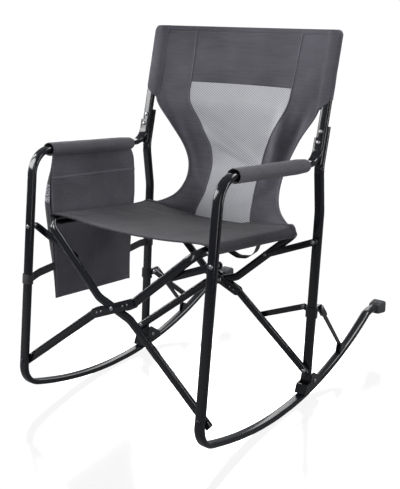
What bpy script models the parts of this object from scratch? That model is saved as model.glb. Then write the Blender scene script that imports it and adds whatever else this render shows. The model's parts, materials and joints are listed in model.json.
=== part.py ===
"""Folding camp rocking chair: two rocker side frames joined by a front and a rear scissor.

Metres, +Z up. The sitter faces -Y, and +X and -X are the two sides. The origin is on the floor, under
the middle of the chair. Lengths along a leg are measured from the pin that joins it to the scissor.
"""

import math

import bmesh
import bpy
from mathutils import Matrix, Vector

# Driving dimensions
HALF_SPAN = 0.310  # each side frame's centre line from the middle plane, open
FOLD = math.radians(37.5)  # how far each scissor bar turns from open to folded
GAP = 0.0006  # between pieces that touch
ROUND_SEGMENTS = 5  # points on each round edge of a flat-oval tube

FRAME_WIDE, FRAME_THICK = 0.030, 0.015  # side frame's flat-oval tube
BAR_WIDE, BAR_THICK = 0.024, 0.013  # scissor's flat-oval tube
BRACE_WIDE, BRACE_THICK = 0.020, 0.0055
PIN_RADIUS, PIN_HOLE, HEAD_RADIUS, HEAD_HEIGHT = 0.0035, 0.0041, 0.0062, 0.0025

# Side frame, in (y, z): centre lines
ROCKER_RADIUS = 1.15  # underside of the rocker
ROCKER_LOW_Y = -0.106  # where the rocker touches the floor
FRONT_LEAN, REAR_LEAN = 0.130, 0.0787  # how far each leg leans back per metre of height
ARM_FRONT_CORNER = (-0.4300, 0.7445)
FRONT_PIN_Z = 0.1475
FRONT_PIN_Y = ARM_FRONT_CORNER[0] + FRONT_LEAN * (FRONT_PIN_Z - ARM_FRONT_CORNER[1])
FRONT_PIN = Vector((0.0, FRONT_PIN_Y, FRONT_PIN_Z))  # on the front leg's centre line, in the middle plane
REAR_PIN = Vector((0.0, 0.0330, 0.0853))  # on the rear leg's centre line
ARM_SLOPE = -0.088
POST_LEAN = 0.263
POST_BOTTOM = (0.0440, 0.700)
POST_TOP_Z = 1.050
LEG_KINKS_Z = (0.560, 0.686)
LEG_TOP_Z = 0.7995
LEG_FOOT_Z = 0.0265
POST_RIVET_Z, ARM_RIVET_Z = 0.7865, 0.7570
TIP_Z, TIP_THICK, TIP_LENGTH, TIP_TAPER = 0.770, 0.005, 0.034, 0.040  # arm's flattened rear tip
ROCKER_TURN_Y = -0.468  # where the front leg's bend meets the rocker
LEVEL_HALF = 0.032  # half of the level stretch under the rocker

# Scissor, in (x, s): x across, s up from the pins at right angles to their axes
PIVOT_AXIS = (REAR_PIN - FRONT_PIN).normalized()
PIVOT_UP = Vector((1.0, 0.0, 0.0)).cross(PIVOT_AXIS)
HUB_S = 0.218
HUB_HALF, HUB_SLOPE = 0.055, 0.34  # the bars' flatter middle stretch
RAIL_X, RAIL_S = 0.2585, 0.4135
BAR_OFFSET = FRAME_THICK / 2 + BAR_THICK / 2 + 0.0015  # bar's centre from the leg's centre
BRACE_OFFSET = BAR_OFFSET + BAR_THICK / 2 + GAP + BRACE_THICK / 2
BRACE_X = 0.158  # where a brace meets its bar
SPLIT_X = 0.040  # where the split bar's halves end, each side of the hub
HUB_PLATE_HALF, HUB_PLATE_THICK, HUB_GAP = 0.064, 0.0025, 0.0012
LONG_END, SHORT_END = 0.024, 0.014  # how far a bar runs past its pin
COLLAR_S, COLLAR_HEIGHT = 0.177, 0.031
COLLAR_LINK_LEG = (0.030, 0.187)  # in from the leg, and up from its pin
COLLAR_LINK_BAR_X = 0.1406
COLLAR_LINK_OFFSET = -0.0025  # negative: behind the rear leg's centre
COLLAR_LINK_THICK, TAB_THICK = 0.004, 0.005

# Rocker's folding tail, in (y, z)
ROCKER_END_Y, TAIL_START_Y, TAIL_BEND_Y, TAIL_END_Y = 0.050, 0.054, 0.425, 0.520
CAP_CENTRE, CAP_SIZE = (0.512, 0.134), (0.054, 0.054, 0.048)
TAIL_HINGE = (0.051, 0.046)
TAIL_LINK_TOP, TAIL_LINK_BOTTOM = (0.098, 0.262), (0.245, 0.089)

# Fabric
CLOTH = 0.003
SLEEVE_Y = (-0.370, -0.004)
SLEEVE_WIDE, SLEEVE_THICK = 0.046, 0.043
SEAT_SAG = 0.018
RAIL_LOOP = 0.0153  # radius of the seat cloth's loop round a rail
SEAT_FRONT_TRIM, SEAT_REAR_TRIM = 0.040, 0.048  # from the bars to the cloth's edges
# Back cloth, at each height: half-width, where its edge lies in y, how far its middle bows back
BACK_ROWS = [
    (0.550, 0.198, 0.052, 0.000),
    (0.600, 0.170, 0.080, 0.004),
    (0.650, 0.175, 0.098, 0.010),
    (0.700, 0.196, 0.098, 0.018),
    (0.760, 0.232, 0.084, 0.030),
    (0.820, 0.278, 0.076, 0.036),
    (0.870, 0.293, 0.088, 0.040),
    (0.960, 0.293, 0.113, 0.045),
    (1.054, 0.293, 0.137, 0.048),
]
POCKET_INNER_X = -0.306
# Pocket, at each height above its front corner: outer face in x, front edge and rear edge in y
POCKET_ROWS = [
    (0.297, -0.315, -0.372, -0.043),
    (0.430, -0.326, -0.372, -0.040),
    (0.550, -0.337, -0.384, -0.014),
    (0.648, -0.334, -0.376, -0.012),
]
POCKET_PANEL_TOP_Z = 0.705
STRAP_Z = (0.385, 0.372)
PULL_STRAP_Y = -0.100

ACROSS = Vector((1.0, 0.0, 0.0))
# The part's origin: on the floor, halfway from the foremost to the rearmost point
ORIGIN = Vector((0.0, 0.01012, 0.00045))


# --- materials -----------------------------------------------------------------------------------


def material(name, colour, roughness, metallic=0.0):
    made = bpy.data.materials.new(name)
    made.use_nodes = True
    shader = made.node_tree.nodes["Principled BSDF"]
    shader.inputs["Base Color"].default_value = (*colour, 1.0)
    shader.inputs["Roughness"].default_value = roughness
    shader.inputs["Metallic"].default_value = metallic
    return made


# --- mesh helpers --------------------------------------------------------------------------------


def new_object(name, mesh_data, finish):
    """Makes the object from a bmesh, with its faces pointing out and its round sides smooth."""
    bmesh.ops.recalc_face_normals(mesh_data, faces=mesh_data.faces)
    mesh = bpy.data.meshes.new(name)
    mesh_data.to_mesh(mesh)
    mesh_data.free()
    mesh.materials.append(finish)
    mesh.shade_smooth()
    mesh.set_sharp_from_angle(angle=math.radians(40))
    made = bpy.data.objects.new(name, mesh)
    bpy.context.collection.objects.link(made)
    return made


def flat_oval(wide, thick, segments=ROUND_SEGMENTS):
    """Outline of a flat-oval tube, wide along the first axis."""
    radius = thick / 2
    straight = wide / 2 - radius
    points = []
    for side in (1, -1):
        for step in range(segments):
            angle = -math.pi / 2 + math.pi * step / (segments - 1)
            points.append((side * (straight + radius * math.cos(angle)), side * radius * math.sin(angle)))
    return points


def circle_outline(radius, segments=16):
    turn = 2 * math.pi / segments
    return [(radius * math.cos(turn * i), radius * math.sin(turn * i)) for i in range(segments)]


def rounded_path(corners, radii, step=math.radians(11)):
    """Polyline through corners, each inner corner replaced by an arc of its radius."""
    corners = [Vector(corner) for corner in corners]
    path = [corners[0]]
    for before, corner, after, radius in zip(corners, corners[1:], corners[2:], radii):
        back = (before - corner).normalized()
        ahead = (after - corner).normalized()
        half = back.angle(ahead) / 2
        if radius <= 0 or half > math.radians(89.5):
            path.append(corner)
            continue
        centre = corner + (back + ahead).normalized() * radius / math.sin(half)
        start = corner + back * radius / math.tan(half) - centre
        end = corner + ahead * radius / math.tan(half) - centre
        count = max(2, math.ceil(start.angle(end) / step))
        path.extend(centre + start.slerp(end, i / count).normalized() * radius for i in range(count + 1))
    return path + [corners[-1]]


def tangents(path):
    """Direction at each point, halfway between the stretches that meet there."""
    ahead = [(b - a).normalized() for a, b in zip(path, path[1:])]
    middle = [(a + b).normalized() for a, b in zip(ahead, ahead[1:])]
    return [ahead[0]] + middle + [ahead[-1]]


def sweep(name, path, wides, outline, finish, sizes=None):
    """Closed solid with the outline swept along the path; wides gives its first axis at each point."""
    data = bmesh.new()
    rings = []
    sizes = sizes or [(1.0, 1.0)] * len(path)
    for point, along, wide, size in zip(path, tangents(path), wides, sizes):
        wide = (wide - along * wide.dot(along)).normalized()
        thick = along.cross(wide)
        rings.append([data.verts.new(point + wide * u * size[0] + thick * v * size[1]) for u, v in outline])
    for ring, following in zip(rings, rings[1:]):
        for i in range(len(outline)):
            j = (i + 1) % len(outline)
            data.faces.new((ring[i], ring[j], following[j], following[i]))
    data.faces.new(rings[0])
    data.faces.new(rings[-1])
    return new_object(name, data, finish)


def side_tube(name, path, outline, finish, sizes=None):
    """A tube bent in a side frame's own plane, so that its wide face looks along the bend."""
    return sweep(name, path, [ACROSS] * len(path), outline, finish, sizes)


def plate(name, outline, thickness, place, finish):
    """Flat plate: outline in place's X and Y, centred on its Z."""
    data = bmesh.new()
    low = [data.verts.new(place @ Vector((u, v, -thickness / 2))) for u, v in outline]
    high = [data.verts.new(place @ Vector((u, v, thickness / 2))) for u, v in outline]
    for i in range(len(outline)):
        j = (i + 1) % len(outline)
        data.faces.new((low[i], low[j], high[j], high[i]))
    data.faces.new(low)
    data.faces.new(high)
    return new_object(name, data, finish)


def box_frame(origin, x_axis, z_axis):
    """Matrix of a frame at origin, with its Z along z_axis and its X near x_axis."""
    z_axis = z_axis.normalized()
    x_axis = (x_axis - z_axis * x_axis.dot(z_axis)).normalized()
    y_axis = z_axis.cross(x_axis)
    return Matrix.Translation(origin) @ Matrix((x_axis, y_axis, z_axis)).transposed().to_4x4()


def turned(name, profile, origin, axis, finish, segments=14):
    """Solid turned about axis from origin: profile is (distance along the axis, radius)."""
    side = axis.orthogonal().normalized()
    place = box_frame(origin, side, axis)
    data = bmesh.new()
    rings = []
    for along, radius in profile:
        outline = circle_outline(radius, segments)
        rings.append([data.verts.new(place @ Vector((u, v, along))) for u, v in outline])
    for ring, following in zip(rings, rings[1:]):
        for i in range(segments):
            j = (i + 1) % segments
            data.faces.new((ring[i], ring[j], following[j], following[i]))
    data.faces.new(rings[0])
    data.faces.new(rings[-1])
    return new_object(name, data, finish)


def rivet(name, origin, axis, start, end, finish):
    """Rivet with a domed head at each end; start and end are the outer faces that the heads clamp."""
    low, high = start - GAP / 2, end + GAP / 2
    profile = [
        (low - HEAD_HEIGHT, HEAD_RADIUS * 0.45),
        (low - HEAD_HEIGHT * 0.55, HEAD_RADIUS * 0.88),
        (low, HEAD_RADIUS),
        (low, PIN_RADIUS),
        (high, PIN_RADIUS),
        (high, HEAD_RADIUS),
        (high + HEAD_HEIGHT * 0.55, HEAD_RADIUS * 0.88),
        (high + HEAD_HEIGHT, HEAD_RADIUS * 0.45),
    ]
    return turned(name, profile, origin, axis.normalized(), finish)


def drill(target, origin, axis, length=0.08):
    """Cuts a round hole through the target, centred on origin."""
    place = box_frame(origin, axis.orthogonal(), axis)
    data = bmesh.new()
    bmesh.ops.create_cone(
        data, cap_ends=True, segments=14, radius1=PIN_HOLE, radius2=PIN_HOLE, depth=length, matrix=place
    )
    cutter = new_object(target.name + "_hole", data, target.data.materials[0])
    combine(target, cutter, "DIFFERENCE")


def combine(target, other, operation):
    """Adds the other object to the target, or cuts it away, and hides it."""
    other.hide_render = True
    other.display_type = "WIRE"
    boolean = target.modifiers.new(operation.title(), "BOOLEAN")
    boolean.operation = operation
    boolean.object = other


def block(name, low, high, finish):
    data = bmesh.new()
    centre = (Vector(low) + Vector(high)) / 2
    size = Vector(high) - Vector(low)
    bmesh.ops.create_cube(data, size=1.0, matrix=Matrix.Translation(centre) @ Matrix.Diagonal((*size, 1.0)))
    return new_object(name, data, finish)


# --- where things are ----------------------------------------------------------------------------


def leg_offset_slope(lean):
    """How far along the pivot axis a leg's centre line moves for each metre up from its pin."""
    leg = Vector((0.0, lean, 1.0))
    return leg.dot(PIVOT_AXIS) / leg.dot(PIVOT_UP)


def front_point(x, s, offset=0.0):
    along = leg_offset_slope(FRONT_LEAN) * s + offset
    return FRONT_PIN + ACROSS * x + PIVOT_UP * s + PIVOT_AXIS * along


def rear_point(x, s, offset=0.0):
    along = leg_offset_slope(REAR_LEAN) * s - offset
    return REAR_PIN + ACROSS * x + PIVOT_UP * s + PIVOT_AXIS * along


def rear_leg_y(z):
    """Rear leg's centre line: straight, then two kinks that bring it behind the back post."""
    low, high = LEG_KINKS_Z
    y_low = REAR_PIN.y + REAR_LEAN * (low - REAR_PIN.z)
    y_high = post_y(high) + (FRAME_THICK + 2 * GAP) * math.hypot(1.0, POST_LEAN)
    if z <= low:
        return REAR_PIN.y + REAR_LEAN * (z - REAR_PIN.z)
    if z <= high:
        return y_low + (y_high - y_low) * (z - low) / (high - low)
    return y_high + POST_LEAN * (z - high)


def post_y(z):
    return POST_BOTTOM[0] + POST_LEAN * (z - POST_BOTTOM[1])


def rocker_z(y, above=0.0):
    """Height of the rocker's underside, or of the line that lies above it."""
    radius = ROCKER_RADIUS - above
    return ROCKER_RADIUS - math.sqrt(radius**2 - (y - ROCKER_LOW_Y) ** 2)


def brace_leg_s():
    """Height on the leg at which a brace has the same length with the chair open and folded."""
    start = Vector((BRACE_X, upper_bar_s(BRACE_X)))
    hub = Vector((0.0, HUB_S))
    arm = start - hub
    open_angle = math.atan2(HUB_S, HALF_SPAN)
    reach = math.hypot(HUB_S, HALF_SPAN)
    leg_x = reach * math.cos(open_angle + FOLD)
    hub_s = reach * math.sin(open_angle + FOLD)
    angle = math.atan2(arm.y, arm.x) + FOLD
    end = Vector((math.cos(angle), math.sin(angle))) * arm.length + Vector((0.0, hub_s))
    near = (HALF_SPAN - start.x) ** 2 - (leg_x - end.x) ** 2
    return (near + start.y**2 - end.y**2) / (2 * (start.y - end.y))


def upper_bar_s(x):
    """Height of the upper stretch of a bar at a distance x from the middle plane."""
    low_s = HUB_S + HUB_SLOPE * HUB_HALF
    return low_s + (x - HUB_HALF) * (RAIL_S - low_s) / (RAIL_X - HUB_HALF)


def lower_bar_s(x):
    high_s = HUB_S - HUB_SLOPE * HUB_HALF
    return high_s * (HALF_SPAN - x) / (HALF_SPAN - HUB_HALF)


# --- side frames ---------------------------------------------------------------------------------


def crossing(start, way, other_start, other_way):
    """Where two lines in (y, z) cross."""
    gap = other_start - start
    along = gap.x * other_way.y - gap.y * other_way.x
    return start + way * along / (way.x * other_way.y - way.y * other_way.x)


def post_front(z, out):
    """Point on the line that lies a distance out in front of the post's centre line."""
    way = Vector((POST_LEAN, 1.0)).normalized()
    return Vector((post_y(z), z)) + Vector((-way.y, way.x)) * out


def side_frame_path(x):
    """Arm's rear tip, arm, front leg and rocker, in one line."""
    corner = Vector(ARM_FRONT_CORNER)
    leg_way = Vector((-FRONT_LEAN, -1.0)).normalized()
    post_way = Vector((POST_LEAN, 1.0)).normalized()
    tip = post_front(TIP_Z, FRAME_THICK / 2 + TIP_THICK / 2 + GAP)
    curl = crossing(corner, Vector((1.0, ARM_SLOPE)).normalized(), tip, post_way)
    turn = Vector((ROCKER_TURN_Y, rocker_z(ROCKER_TURN_Y, FRAME_THICK / 2)))
    rocker_way = Vector((ROCKER_RADIUS - turn.y, turn.x - ROCKER_LOW_Y)).normalized()
    foot = crossing(corner, leg_way, turn, rocker_way)
    foot_radius = (turn - foot).length * math.tan((-leg_way).angle(rocker_way) / 2)
    corners = [Vector((0.0, *point)) for point in (tip, curl, corner, foot, turn)]
    path = rounded_path(corners, [0.050, 0.070, foot_radius * 0.999])
    stops = (ROCKER_TURN_Y, ROCKER_LOW_Y - LEVEL_HALF, ROCKER_LOW_Y + LEVEL_HALF, ROCKER_END_Y)
    for start, end, count in zip(stops, stops[1:], (10, 1, 4)):
        for i in range(1, count + 1):
            y = start + (end - start) * i / count
            path.append(Vector((0.0, y, rocker_z(y, FRAME_THICK / 2))))
    return [ACROSS * x + point for point in path]


def tip_sizes(path):
    """The arm's rear tip is pressed flat and a little wider where it lies on the post."""
    sizes = []
    travelled = 0.0
    for before, point in zip([path[0]] + path, path):
        travelled += (point - before).length
        share = min(1.0, max(0.0, (travelled - TIP_LENGTH) / TIP_TAPER))
        flat = TIP_THICK / FRAME_THICK
        sizes.append((1.04 - 0.04 * share, flat + (1.0 - flat) * share))
    return sizes


def make_side_frame(side, x, finishes):
    frame = finishes["frame"]
    outline = flat_oval(FRAME_WIDE, FRAME_THICK)
    path = side_frame_path(x)
    tube = side_tube(f"{side}_side_tube", path, outline, frame, tip_sizes(path))
    leg_z = [LEG_FOOT_Z, *LEG_KINKS_Z, LEG_TOP_Z]
    leg_path = rounded_path([(x, rear_leg_y(z), z) for z in leg_z], [0.12, 0.12])
    leg = side_tube(f"{side}_rear_leg", leg_path, outline, frame)
    post_path = [Vector((x, post_y(z), z)) for z in (POST_BOTTOM[1], POST_TOP_Z)]
    post = side_tube(f"{side}_back_post", post_path, outline, frame)

    # The lower rivet holds the arm's tip, the post and the leg together, the upper one the post and the leg
    backward = Vector((0.0, 1.0, -POST_LEAN)).normalized()
    near = FRAME_THICK / 2 + GAP
    far = 1.5 * FRAME_THICK + 3 * GAP
    for name, z, low, pieces in (
        ("arm", ARM_RIVET_Z, -near - TIP_THICK - GAP, (tube, post, leg)),
        ("post", POST_RIVET_Z, -near, (post, leg)),
    ):
        on_post = Vector((x, post_y(z), z))
        for piece in pieces:
            drill(piece, on_post, backward)
        rivet(f"{side}_{name}_rivet", on_post, backward, low, far, finishes["rivet"])

    # Pins of the scissor bars and of the braces
    bar_side = BAR_OFFSET + BAR_THICK / 2
    front_pin = front_point(x, 0.0)
    rear_pin = rear_point(x, 0.0)
    half = FRAME_THICK / 2 + GAP
    drill(tube, front_pin, PIVOT_AXIS)
    drill(leg, rear_pin, PIVOT_AXIS)
    rivet(f"{side}_front_pin", front_pin, PIVOT_AXIS, -half, bar_side, finishes["rivet"])
    rivet(f"{side}_rear_pin", rear_pin, PIVOT_AXIS, -bar_side, half, finishes["rivet"])
    for end, place, piece, way in (("front", front_point, tube, 1), ("rear", rear_point, leg, -1)):
        on_leg = place(x, brace_leg_s())
        drill(piece, on_leg, PIVOT_AXIS)
        brace_rivet(f"{side}_{end}_brace_rivet", on_leg, PIVOT_AXIS * way, finishes["rivet"])
    make_saddle(side, x, leg, finishes)


def brace_rivet(name, origin, axis, finish):
    """Shouldered rivet: its thick middle holds the brace a bar's thickness away from the leg."""
    leg_face = FRAME_THICK / 2 + GAP
    brace_near = BRACE_OFFSET - BRACE_THICK / 2 - GAP
    brace_far = BRACE_OFFSET + BRACE_THICK / 2 + GAP
    profile = [
        (-leg_face - HEAD_HEIGHT, HEAD_RADIUS * 0.45),
        (-leg_face - HEAD_HEIGHT * 0.55, HEAD_RADIUS * 0.88),
        (-leg_face, HEAD_RADIUS),
        (-leg_face, PIN_RADIUS),
        (leg_face, PIN_RADIUS),
        (leg_face, HEAD_RADIUS),
        (brace_near, HEAD_RADIUS),
        (brace_near, PIN_RADIUS),
        (brace_far, PIN_RADIUS),
        (brace_far, HEAD_RADIUS),
        (brace_far + HEAD_HEIGHT * 0.55, HEAD_RADIUS * 0.88),
        (brace_far + HEAD_HEIGHT, HEAD_RADIUS * 0.45),
    ]
    return turned(name, profile, origin, axis, finish)


def upright(x):
    """Frame of a plate that stands in the (y, z) plane at x."""
    return Matrix.Translation((x, 0, 0)) @ Matrix(((0, 0, 1, 0), (1, 0, 0, 0), (0, 1, 0, 0), (0, 0, 0, 1)))


def make_saddle(side, x, leg, finishes):
    """Bent bracket over the rocker's end: two cheeks and a front web, round the rear leg's foot."""
    inner = FRAME_WIDE / 2 + GAP
    sheet = 0.0025
    cheek = [
        (-0.008, 0.022), (0.0035, 0.0475), (0.026, 0.050), (0.034, 0.076), (0.044, 0.076),
        (0.090, 0.044), (0.090, 0.031), (0.062, 0.0215), (0.006, 0.020),
    ]
    saddle = plate(f"{side}_saddle", cheek, 2 * (inner + sheet), upright(x), finishes["frame"])
    hollow = [(-0.0045, 0.010), (0.0200, 0.085), (0.110, 0.085), (0.110, 0.010)]
    inside = plate(f"{side}_saddle_hollow", hollow, 2 * inner, upright(x), finishes["frame"])
    combine(saddle, inside, "DIFFERENCE")
    hinge = Vector((x, *TAIL_HINGE))
    drill(saddle, hinge, ACROSS, length=0.06)
    rivet(f"{side}_tail_pin", hinge, ACROSS, -inner - sheet - GAP, inner + sheet + GAP, finishes["rivet"])


# --- folding tail of the rocker ------------------------------------------------------------------


def tail_path(x):
    path = []
    for i in range(10):
        y = TAIL_START_Y + (TAIL_BEND_Y - TAIL_START_Y) * i / 9
        path.append(Vector((x, y, rocker_z(y, FRAME_THICK / 2))))
    rise = path[-1].z
    path.append(Vector((x, TAIL_BEND_Y + 0.028, rise + 0.004)))
    path.append(Vector((x, TAIL_END_Y, rise + 0.005)))
    return path


def make_tail(side, x, finishes):
    frame = finishes["frame"]
    path = tail_path(x)
    tail = side_tube(f"{side}_rocker_tail", path, flat_oval(FRAME_WIDE, FRAME_THICK), frame)
    lug = [
        (0.0445, 0.042), (0.0445, 0.050), (0.050, 0.0540), (0.056, 0.0530),
        (0.084, 0.034), (0.084, 0.022), (0.062, 0.018), (0.0555, 0.030),
    ]
    combine(tail, plate(f"{side}_tail_lug", lug, 0.012, upright(x), frame), "UNION")
    drill(tail, Vector((x, *TAIL_HINGE)), ACROSS, length=0.05)

    # Clevis for the tail's link, standing on the tail's top face
    pin = Vector((x, *TAIL_LINK_BOTTOM))
    rise = math.atan2(pin.y - ROCKER_LOW_Y, ROCKER_RADIUS - pin.z)
    along = Vector((0.0, math.cos(rise), math.sin(rise)))
    up = Vector((0.0, -math.sin(rise), math.cos(rise)))
    reach = math.hypot(pin.y - ROCKER_LOW_Y, ROCKER_RADIUS - pin.z)
    base = -(ROCKER_RADIUS - FRAME_THICK - reach) + GAP
    ears = [
        (-0.016, base), (0.016, base), (0.016, base + 0.004), (0.008, 0.0),
        (0.005, 0.007), (-0.005, 0.007), (-0.008, 0.0), (-0.016, base + 0.004),
    ]
    place = box_frame(pin, along, along.cross(up))
    clevis = plate(f"{side}_tail_clevis", ears, 0.018, place, frame)
    slot = [(-0.020, base + 0.004), (0.020, base + 0.004), (0.020, 0.012), (-0.020, 0.012)]
    combine(clevis, plate(f"{side}_clevis_slot", slot, 0.009, place, frame), "DIFFERENCE")

    # Rubber block over the tail's end
    centre = Vector((x, *CAP_CENTRE))
    half = Vector(CAP_SIZE) / 2
    cap = block(f"{side}_tail_cap", centre - half, centre + half, finishes["rubber"])
    edge = cap.modifiers.new("Bevel", "BEVEL")
    edge.width, edge.segments = 0.007, 2
    clear = flat_oval(FRAME_WIDE + 2 * GAP, FRAME_THICK + 2 * GAP)
    ahead = (path[-1] - path[-2]).normalized()
    socket_path = [path[-4], path[-3], path[-2], path[-1] + ahead * GAP]
    combine(cap, side_tube(f"{side}_cap_socket", socket_path, clear, frame), "DIFFERENCE")


# --- collars and links ---------------------------------------------------------------------------


def bar_link(name, start, end, wide, thick, axis, finish):
    """Flat bar with round ends between two pivots whose axes are along axis."""
    length = (end - start).length
    radius = wide / 2
    outline = []
    for centre, turn in ((length, -90), (0.0, 90)):
        for step in range(7):
            angle = math.radians(turn + 30 * step)
            outline.append((centre + radius * math.cos(angle), radius * math.sin(angle)))
    return plate(name, outline, thick, box_frame(start, end - start, axis), finish)


def make_collar(side, x, finishes):
    """Slider on the rear leg, with a tab for each of its two links."""
    frame = finishes["frame"]
    sign = math.copysign(1.0, x)
    centre = rear_point(x, COLLAR_S)
    way = Vector((0.0, REAR_LEAN, 1.0)).normalized()
    ends = [centre - way * COLLAR_HEIGHT / 2, centre + way * COLLAR_HEIGHT / 2]
    collar = side_tube(f"{side}_collar", ends, flat_oval(0.038, 0.023), frame)
    pin = rear_point(x - sign * COLLAR_LINK_LEG[0], COLLAR_LINK_LEG[1])
    tab_face = -COLLAR_LINK_OFFSET + COLLAR_LINK_THICK / 2 + GAP
    tab_shift = PIVOT_AXIS * (tab_face + TAB_THICK / 2)
    tab_ends = (pin + tab_shift, centre + tab_shift)
    tab = bar_link(f"{side}_collar_tab", *tab_ends, 0.017, TAB_THICK, PIVOT_AXIS, frame)
    combine(collar, tab, "UNION")
    top = Vector((x, *TAIL_LINK_TOP))
    back_tab = bar_link(f"{side}_collar_back_tab", top, centre, 0.018, 0.006, ACROSS, frame)
    combine(collar, back_tab, "UNION")
    clear = flat_oval(FRAME_WIDE + 0.0012, FRAME_THICK + 0.0012)
    through = [centre - way * 0.030, centre + way * 0.030]
    combine(collar, side_tube(f"{side}_collar_bore", through, clear, frame), "DIFFERENCE")
    drill(collar, pin, PIVOT_AXIS, length=0.03)
    drill(collar, top, ACROSS, length=0.02)

    # Link from the collar to the bar's lower part
    shift = -PIVOT_AXIS * COLLAR_LINK_OFFSET
    on_bar = rear_point(x - sign * (HALF_SPAN - COLLAR_LINK_BAR_X), lower_bar_s(COLLAR_LINK_BAR_X))
    link_ends = (pin + shift, on_bar + shift)
    link = bar_link(f"{side}_collar_link", *link_ends, 0.017, COLLAR_LINK_THICK, PIVOT_AXIS, frame)
    drill(link, pin + shift, PIVOT_AXIS, length=0.02)
    low = -COLLAR_LINK_OFFSET - COLLAR_LINK_THICK / 2 - GAP
    high = tab_face + TAB_THICK + GAP
    rivet(f"{side}_collar_pin", pin, PIVOT_AXIS, low, high, finishes["rivet"])

    # Link from the collar down to the tail's clevis, with a fork round the collar's rear tab
    bottom = Vector((x, *TAIL_LINK_BOTTOM))
    tail_link = bar_link(f"{side}_tail_link", top, bottom, 0.012, 0.005, ACROSS, frame)
    fork = bar_link(f"{side}_fork", top, top + (bottom - top) * 0.18, 0.014, 0.016, ACROSS, frame)
    combine(tail_link, fork, "UNION")
    mouth_ends = (top - (bottom - top) * 0.10, top + (bottom - top) * 0.07)
    mouth = bar_link(f"{side}_fork_mouth", *mouth_ends, 0.026, 0.0075, ACROSS, frame)
    combine(tail_link, mouth, "DIFFERENCE")
    drill(tail_link, top, ACROSS, length=0.03)
    rivet(f"{side}_tail_link_pin", top, ACROSS, -0.008 - GAP, 0.008 + GAP, finishes["rivet"])


def make_braces(side, x, finishes):
    sign = math.copysign(1.0, x)
    for end, place, way in (("front", front_point, 1), ("rear", rear_point, -1)):
        shift = PIVOT_AXIS * BRACE_OFFSET * way
        start = place(x, brace_leg_s()) + shift
        rise = upper_bar_s(BRACE_X) - brace_leg_s()
        on_bar = start + ACROSS * sign * (BRACE_X - HALF_SPAN) + PIVOT_UP * rise
        name = f"{side}_{end}_brace"
        brace = bar_link(name, start, on_bar, BRACE_WIDE, BRACE_THICK, PIVOT_AXIS, finishes["frame"])
        drill(brace, start, PIVOT_AXIS, length=0.02)


# --- scissor -------------------------------------------------------------------------------------


def sweep_bar(name, corners, radii, finish):
    """Scissor tube: its wide face stays in the plane of the bars, and keeps its turn along the rail."""
    path = rounded_path(corners, radii)
    wides = []
    for along in tangents(path):
        across = PIVOT_AXIS.cross(along)
        if across.length < 0.3:
            across = wides[-1]
        elif wides and across.dot(wides[-1]) < -0.8 * across.length:
            across = -across
        wides.append(across.normalized())
    return sweep(name, path, wides, flat_oval(BAR_WIDE, BAR_THICK), finish)


def lower_end(sign, beyond):
    """Corner (x, s) of a bar's lower end, a distance beyond its pin."""
    way = Vector((HALF_SPAN - HUB_HALF, -lower_bar_s(HUB_HALF))).normalized() * beyond
    return sign * (HALF_SPAN + way.x), way.y


def make_scissor(finishes):
    frame = finishes["frame"]
    bends = HUB_SLOPE * HUB_HALF
    for side, sign, near, far, end in (
        ("left", -1, rear_point, front_point, "rear"),
        ("right", 1, front_point, rear_point, "front"),
    ):
        # One tube: short upper bar, rail, then the whole bar on the other side
        corners = [
            near(sign * SPLIT_X, HUB_S + HUB_SLOPE * SPLIT_X, BAR_OFFSET),
            near(sign * HUB_HALF, HUB_S + bends, BAR_OFFSET),
            near(sign * RAIL_X, RAIL_S, BAR_OFFSET),
            far(sign * RAIL_X, RAIL_S, BAR_OFFSET),
            far(sign * HUB_HALF, HUB_S + bends, BAR_OFFSET),
            far(-sign * HUB_HALF, HUB_S - bends, BAR_OFFSET),
            far(*lower_end(-sign, LONG_END), BAR_OFFSET),
        ]
        tube = sweep_bar(f"{side}_seat_tube", corners, [0.05, 0.045, 0.045, 0.05, 0.05], frame)
        drill(tube, far(0.0, HUB_S, BAR_OFFSET), PIVOT_AXIS)
        drill(tube, far(-sign * HALF_SPAN, 0.0, BAR_OFFSET), PIVOT_AXIS)
        # The split bar's lower half, on the same side as the short upper bar
        corners = [
            near(-sign * SPLIT_X, HUB_S - HUB_SLOPE * SPLIT_X, BAR_OFFSET),
            near(-sign * HUB_HALF, HUB_S - bends, BAR_OFFSET),
            near(*lower_end(-sign, SHORT_END), BAR_OFFSET),
        ]
        lower = sweep_bar(f"{end}_lower_bar", corners, [0.05], frame)
        drill(lower, near(-sign * HALF_SPAN, 0.0, BAR_OFFSET), PIVOT_AXIS)
        make_hub(end, sign, near, finishes)


def make_hub(end, sign, place, finishes):
    """Two plates join the split bar's halves and hold the whole bar between them on one pivot."""
    hub = place(0.0, HUB_S, BAR_OFFSET)
    plate_end = place(sign * HUB_PLATE_HALF, upper_bar_s(HUB_PLATE_HALF), BAR_OFFSET)
    way = (plate_end - hub).normalized() * HUB_PLATE_HALF
    normal = (PIVOT_AXIS - way * PIVOT_AXIS.dot(way) / way.length_squared).normalized()
    reach = BAR_THICK / 2 + HUB_GAP + HUB_PLATE_THICK / 2
    for face, shift in (("front", -reach), ("back", reach)):
        centre = hub + normal * shift
        ends = (centre - way, centre + way)
        size = (0.027, HUB_PLATE_THICK)
        hub_plate = bar_link(f"{end}_hub_{face}_plate", *ends, *size, normal, finishes["frame"])
        drill(hub_plate, centre, PIVOT_AXIS, length=0.01)
    out = BAR_THICK / 2 + HUB_PLATE_THICK + HUB_GAP + 2 * GAP
    rivet(f"{end}_hub_pivot", hub, PIVOT_AXIS, -out, out, finishes["rivet"])


# --- fabric --------------------------------------------------------------------------------------


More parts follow.
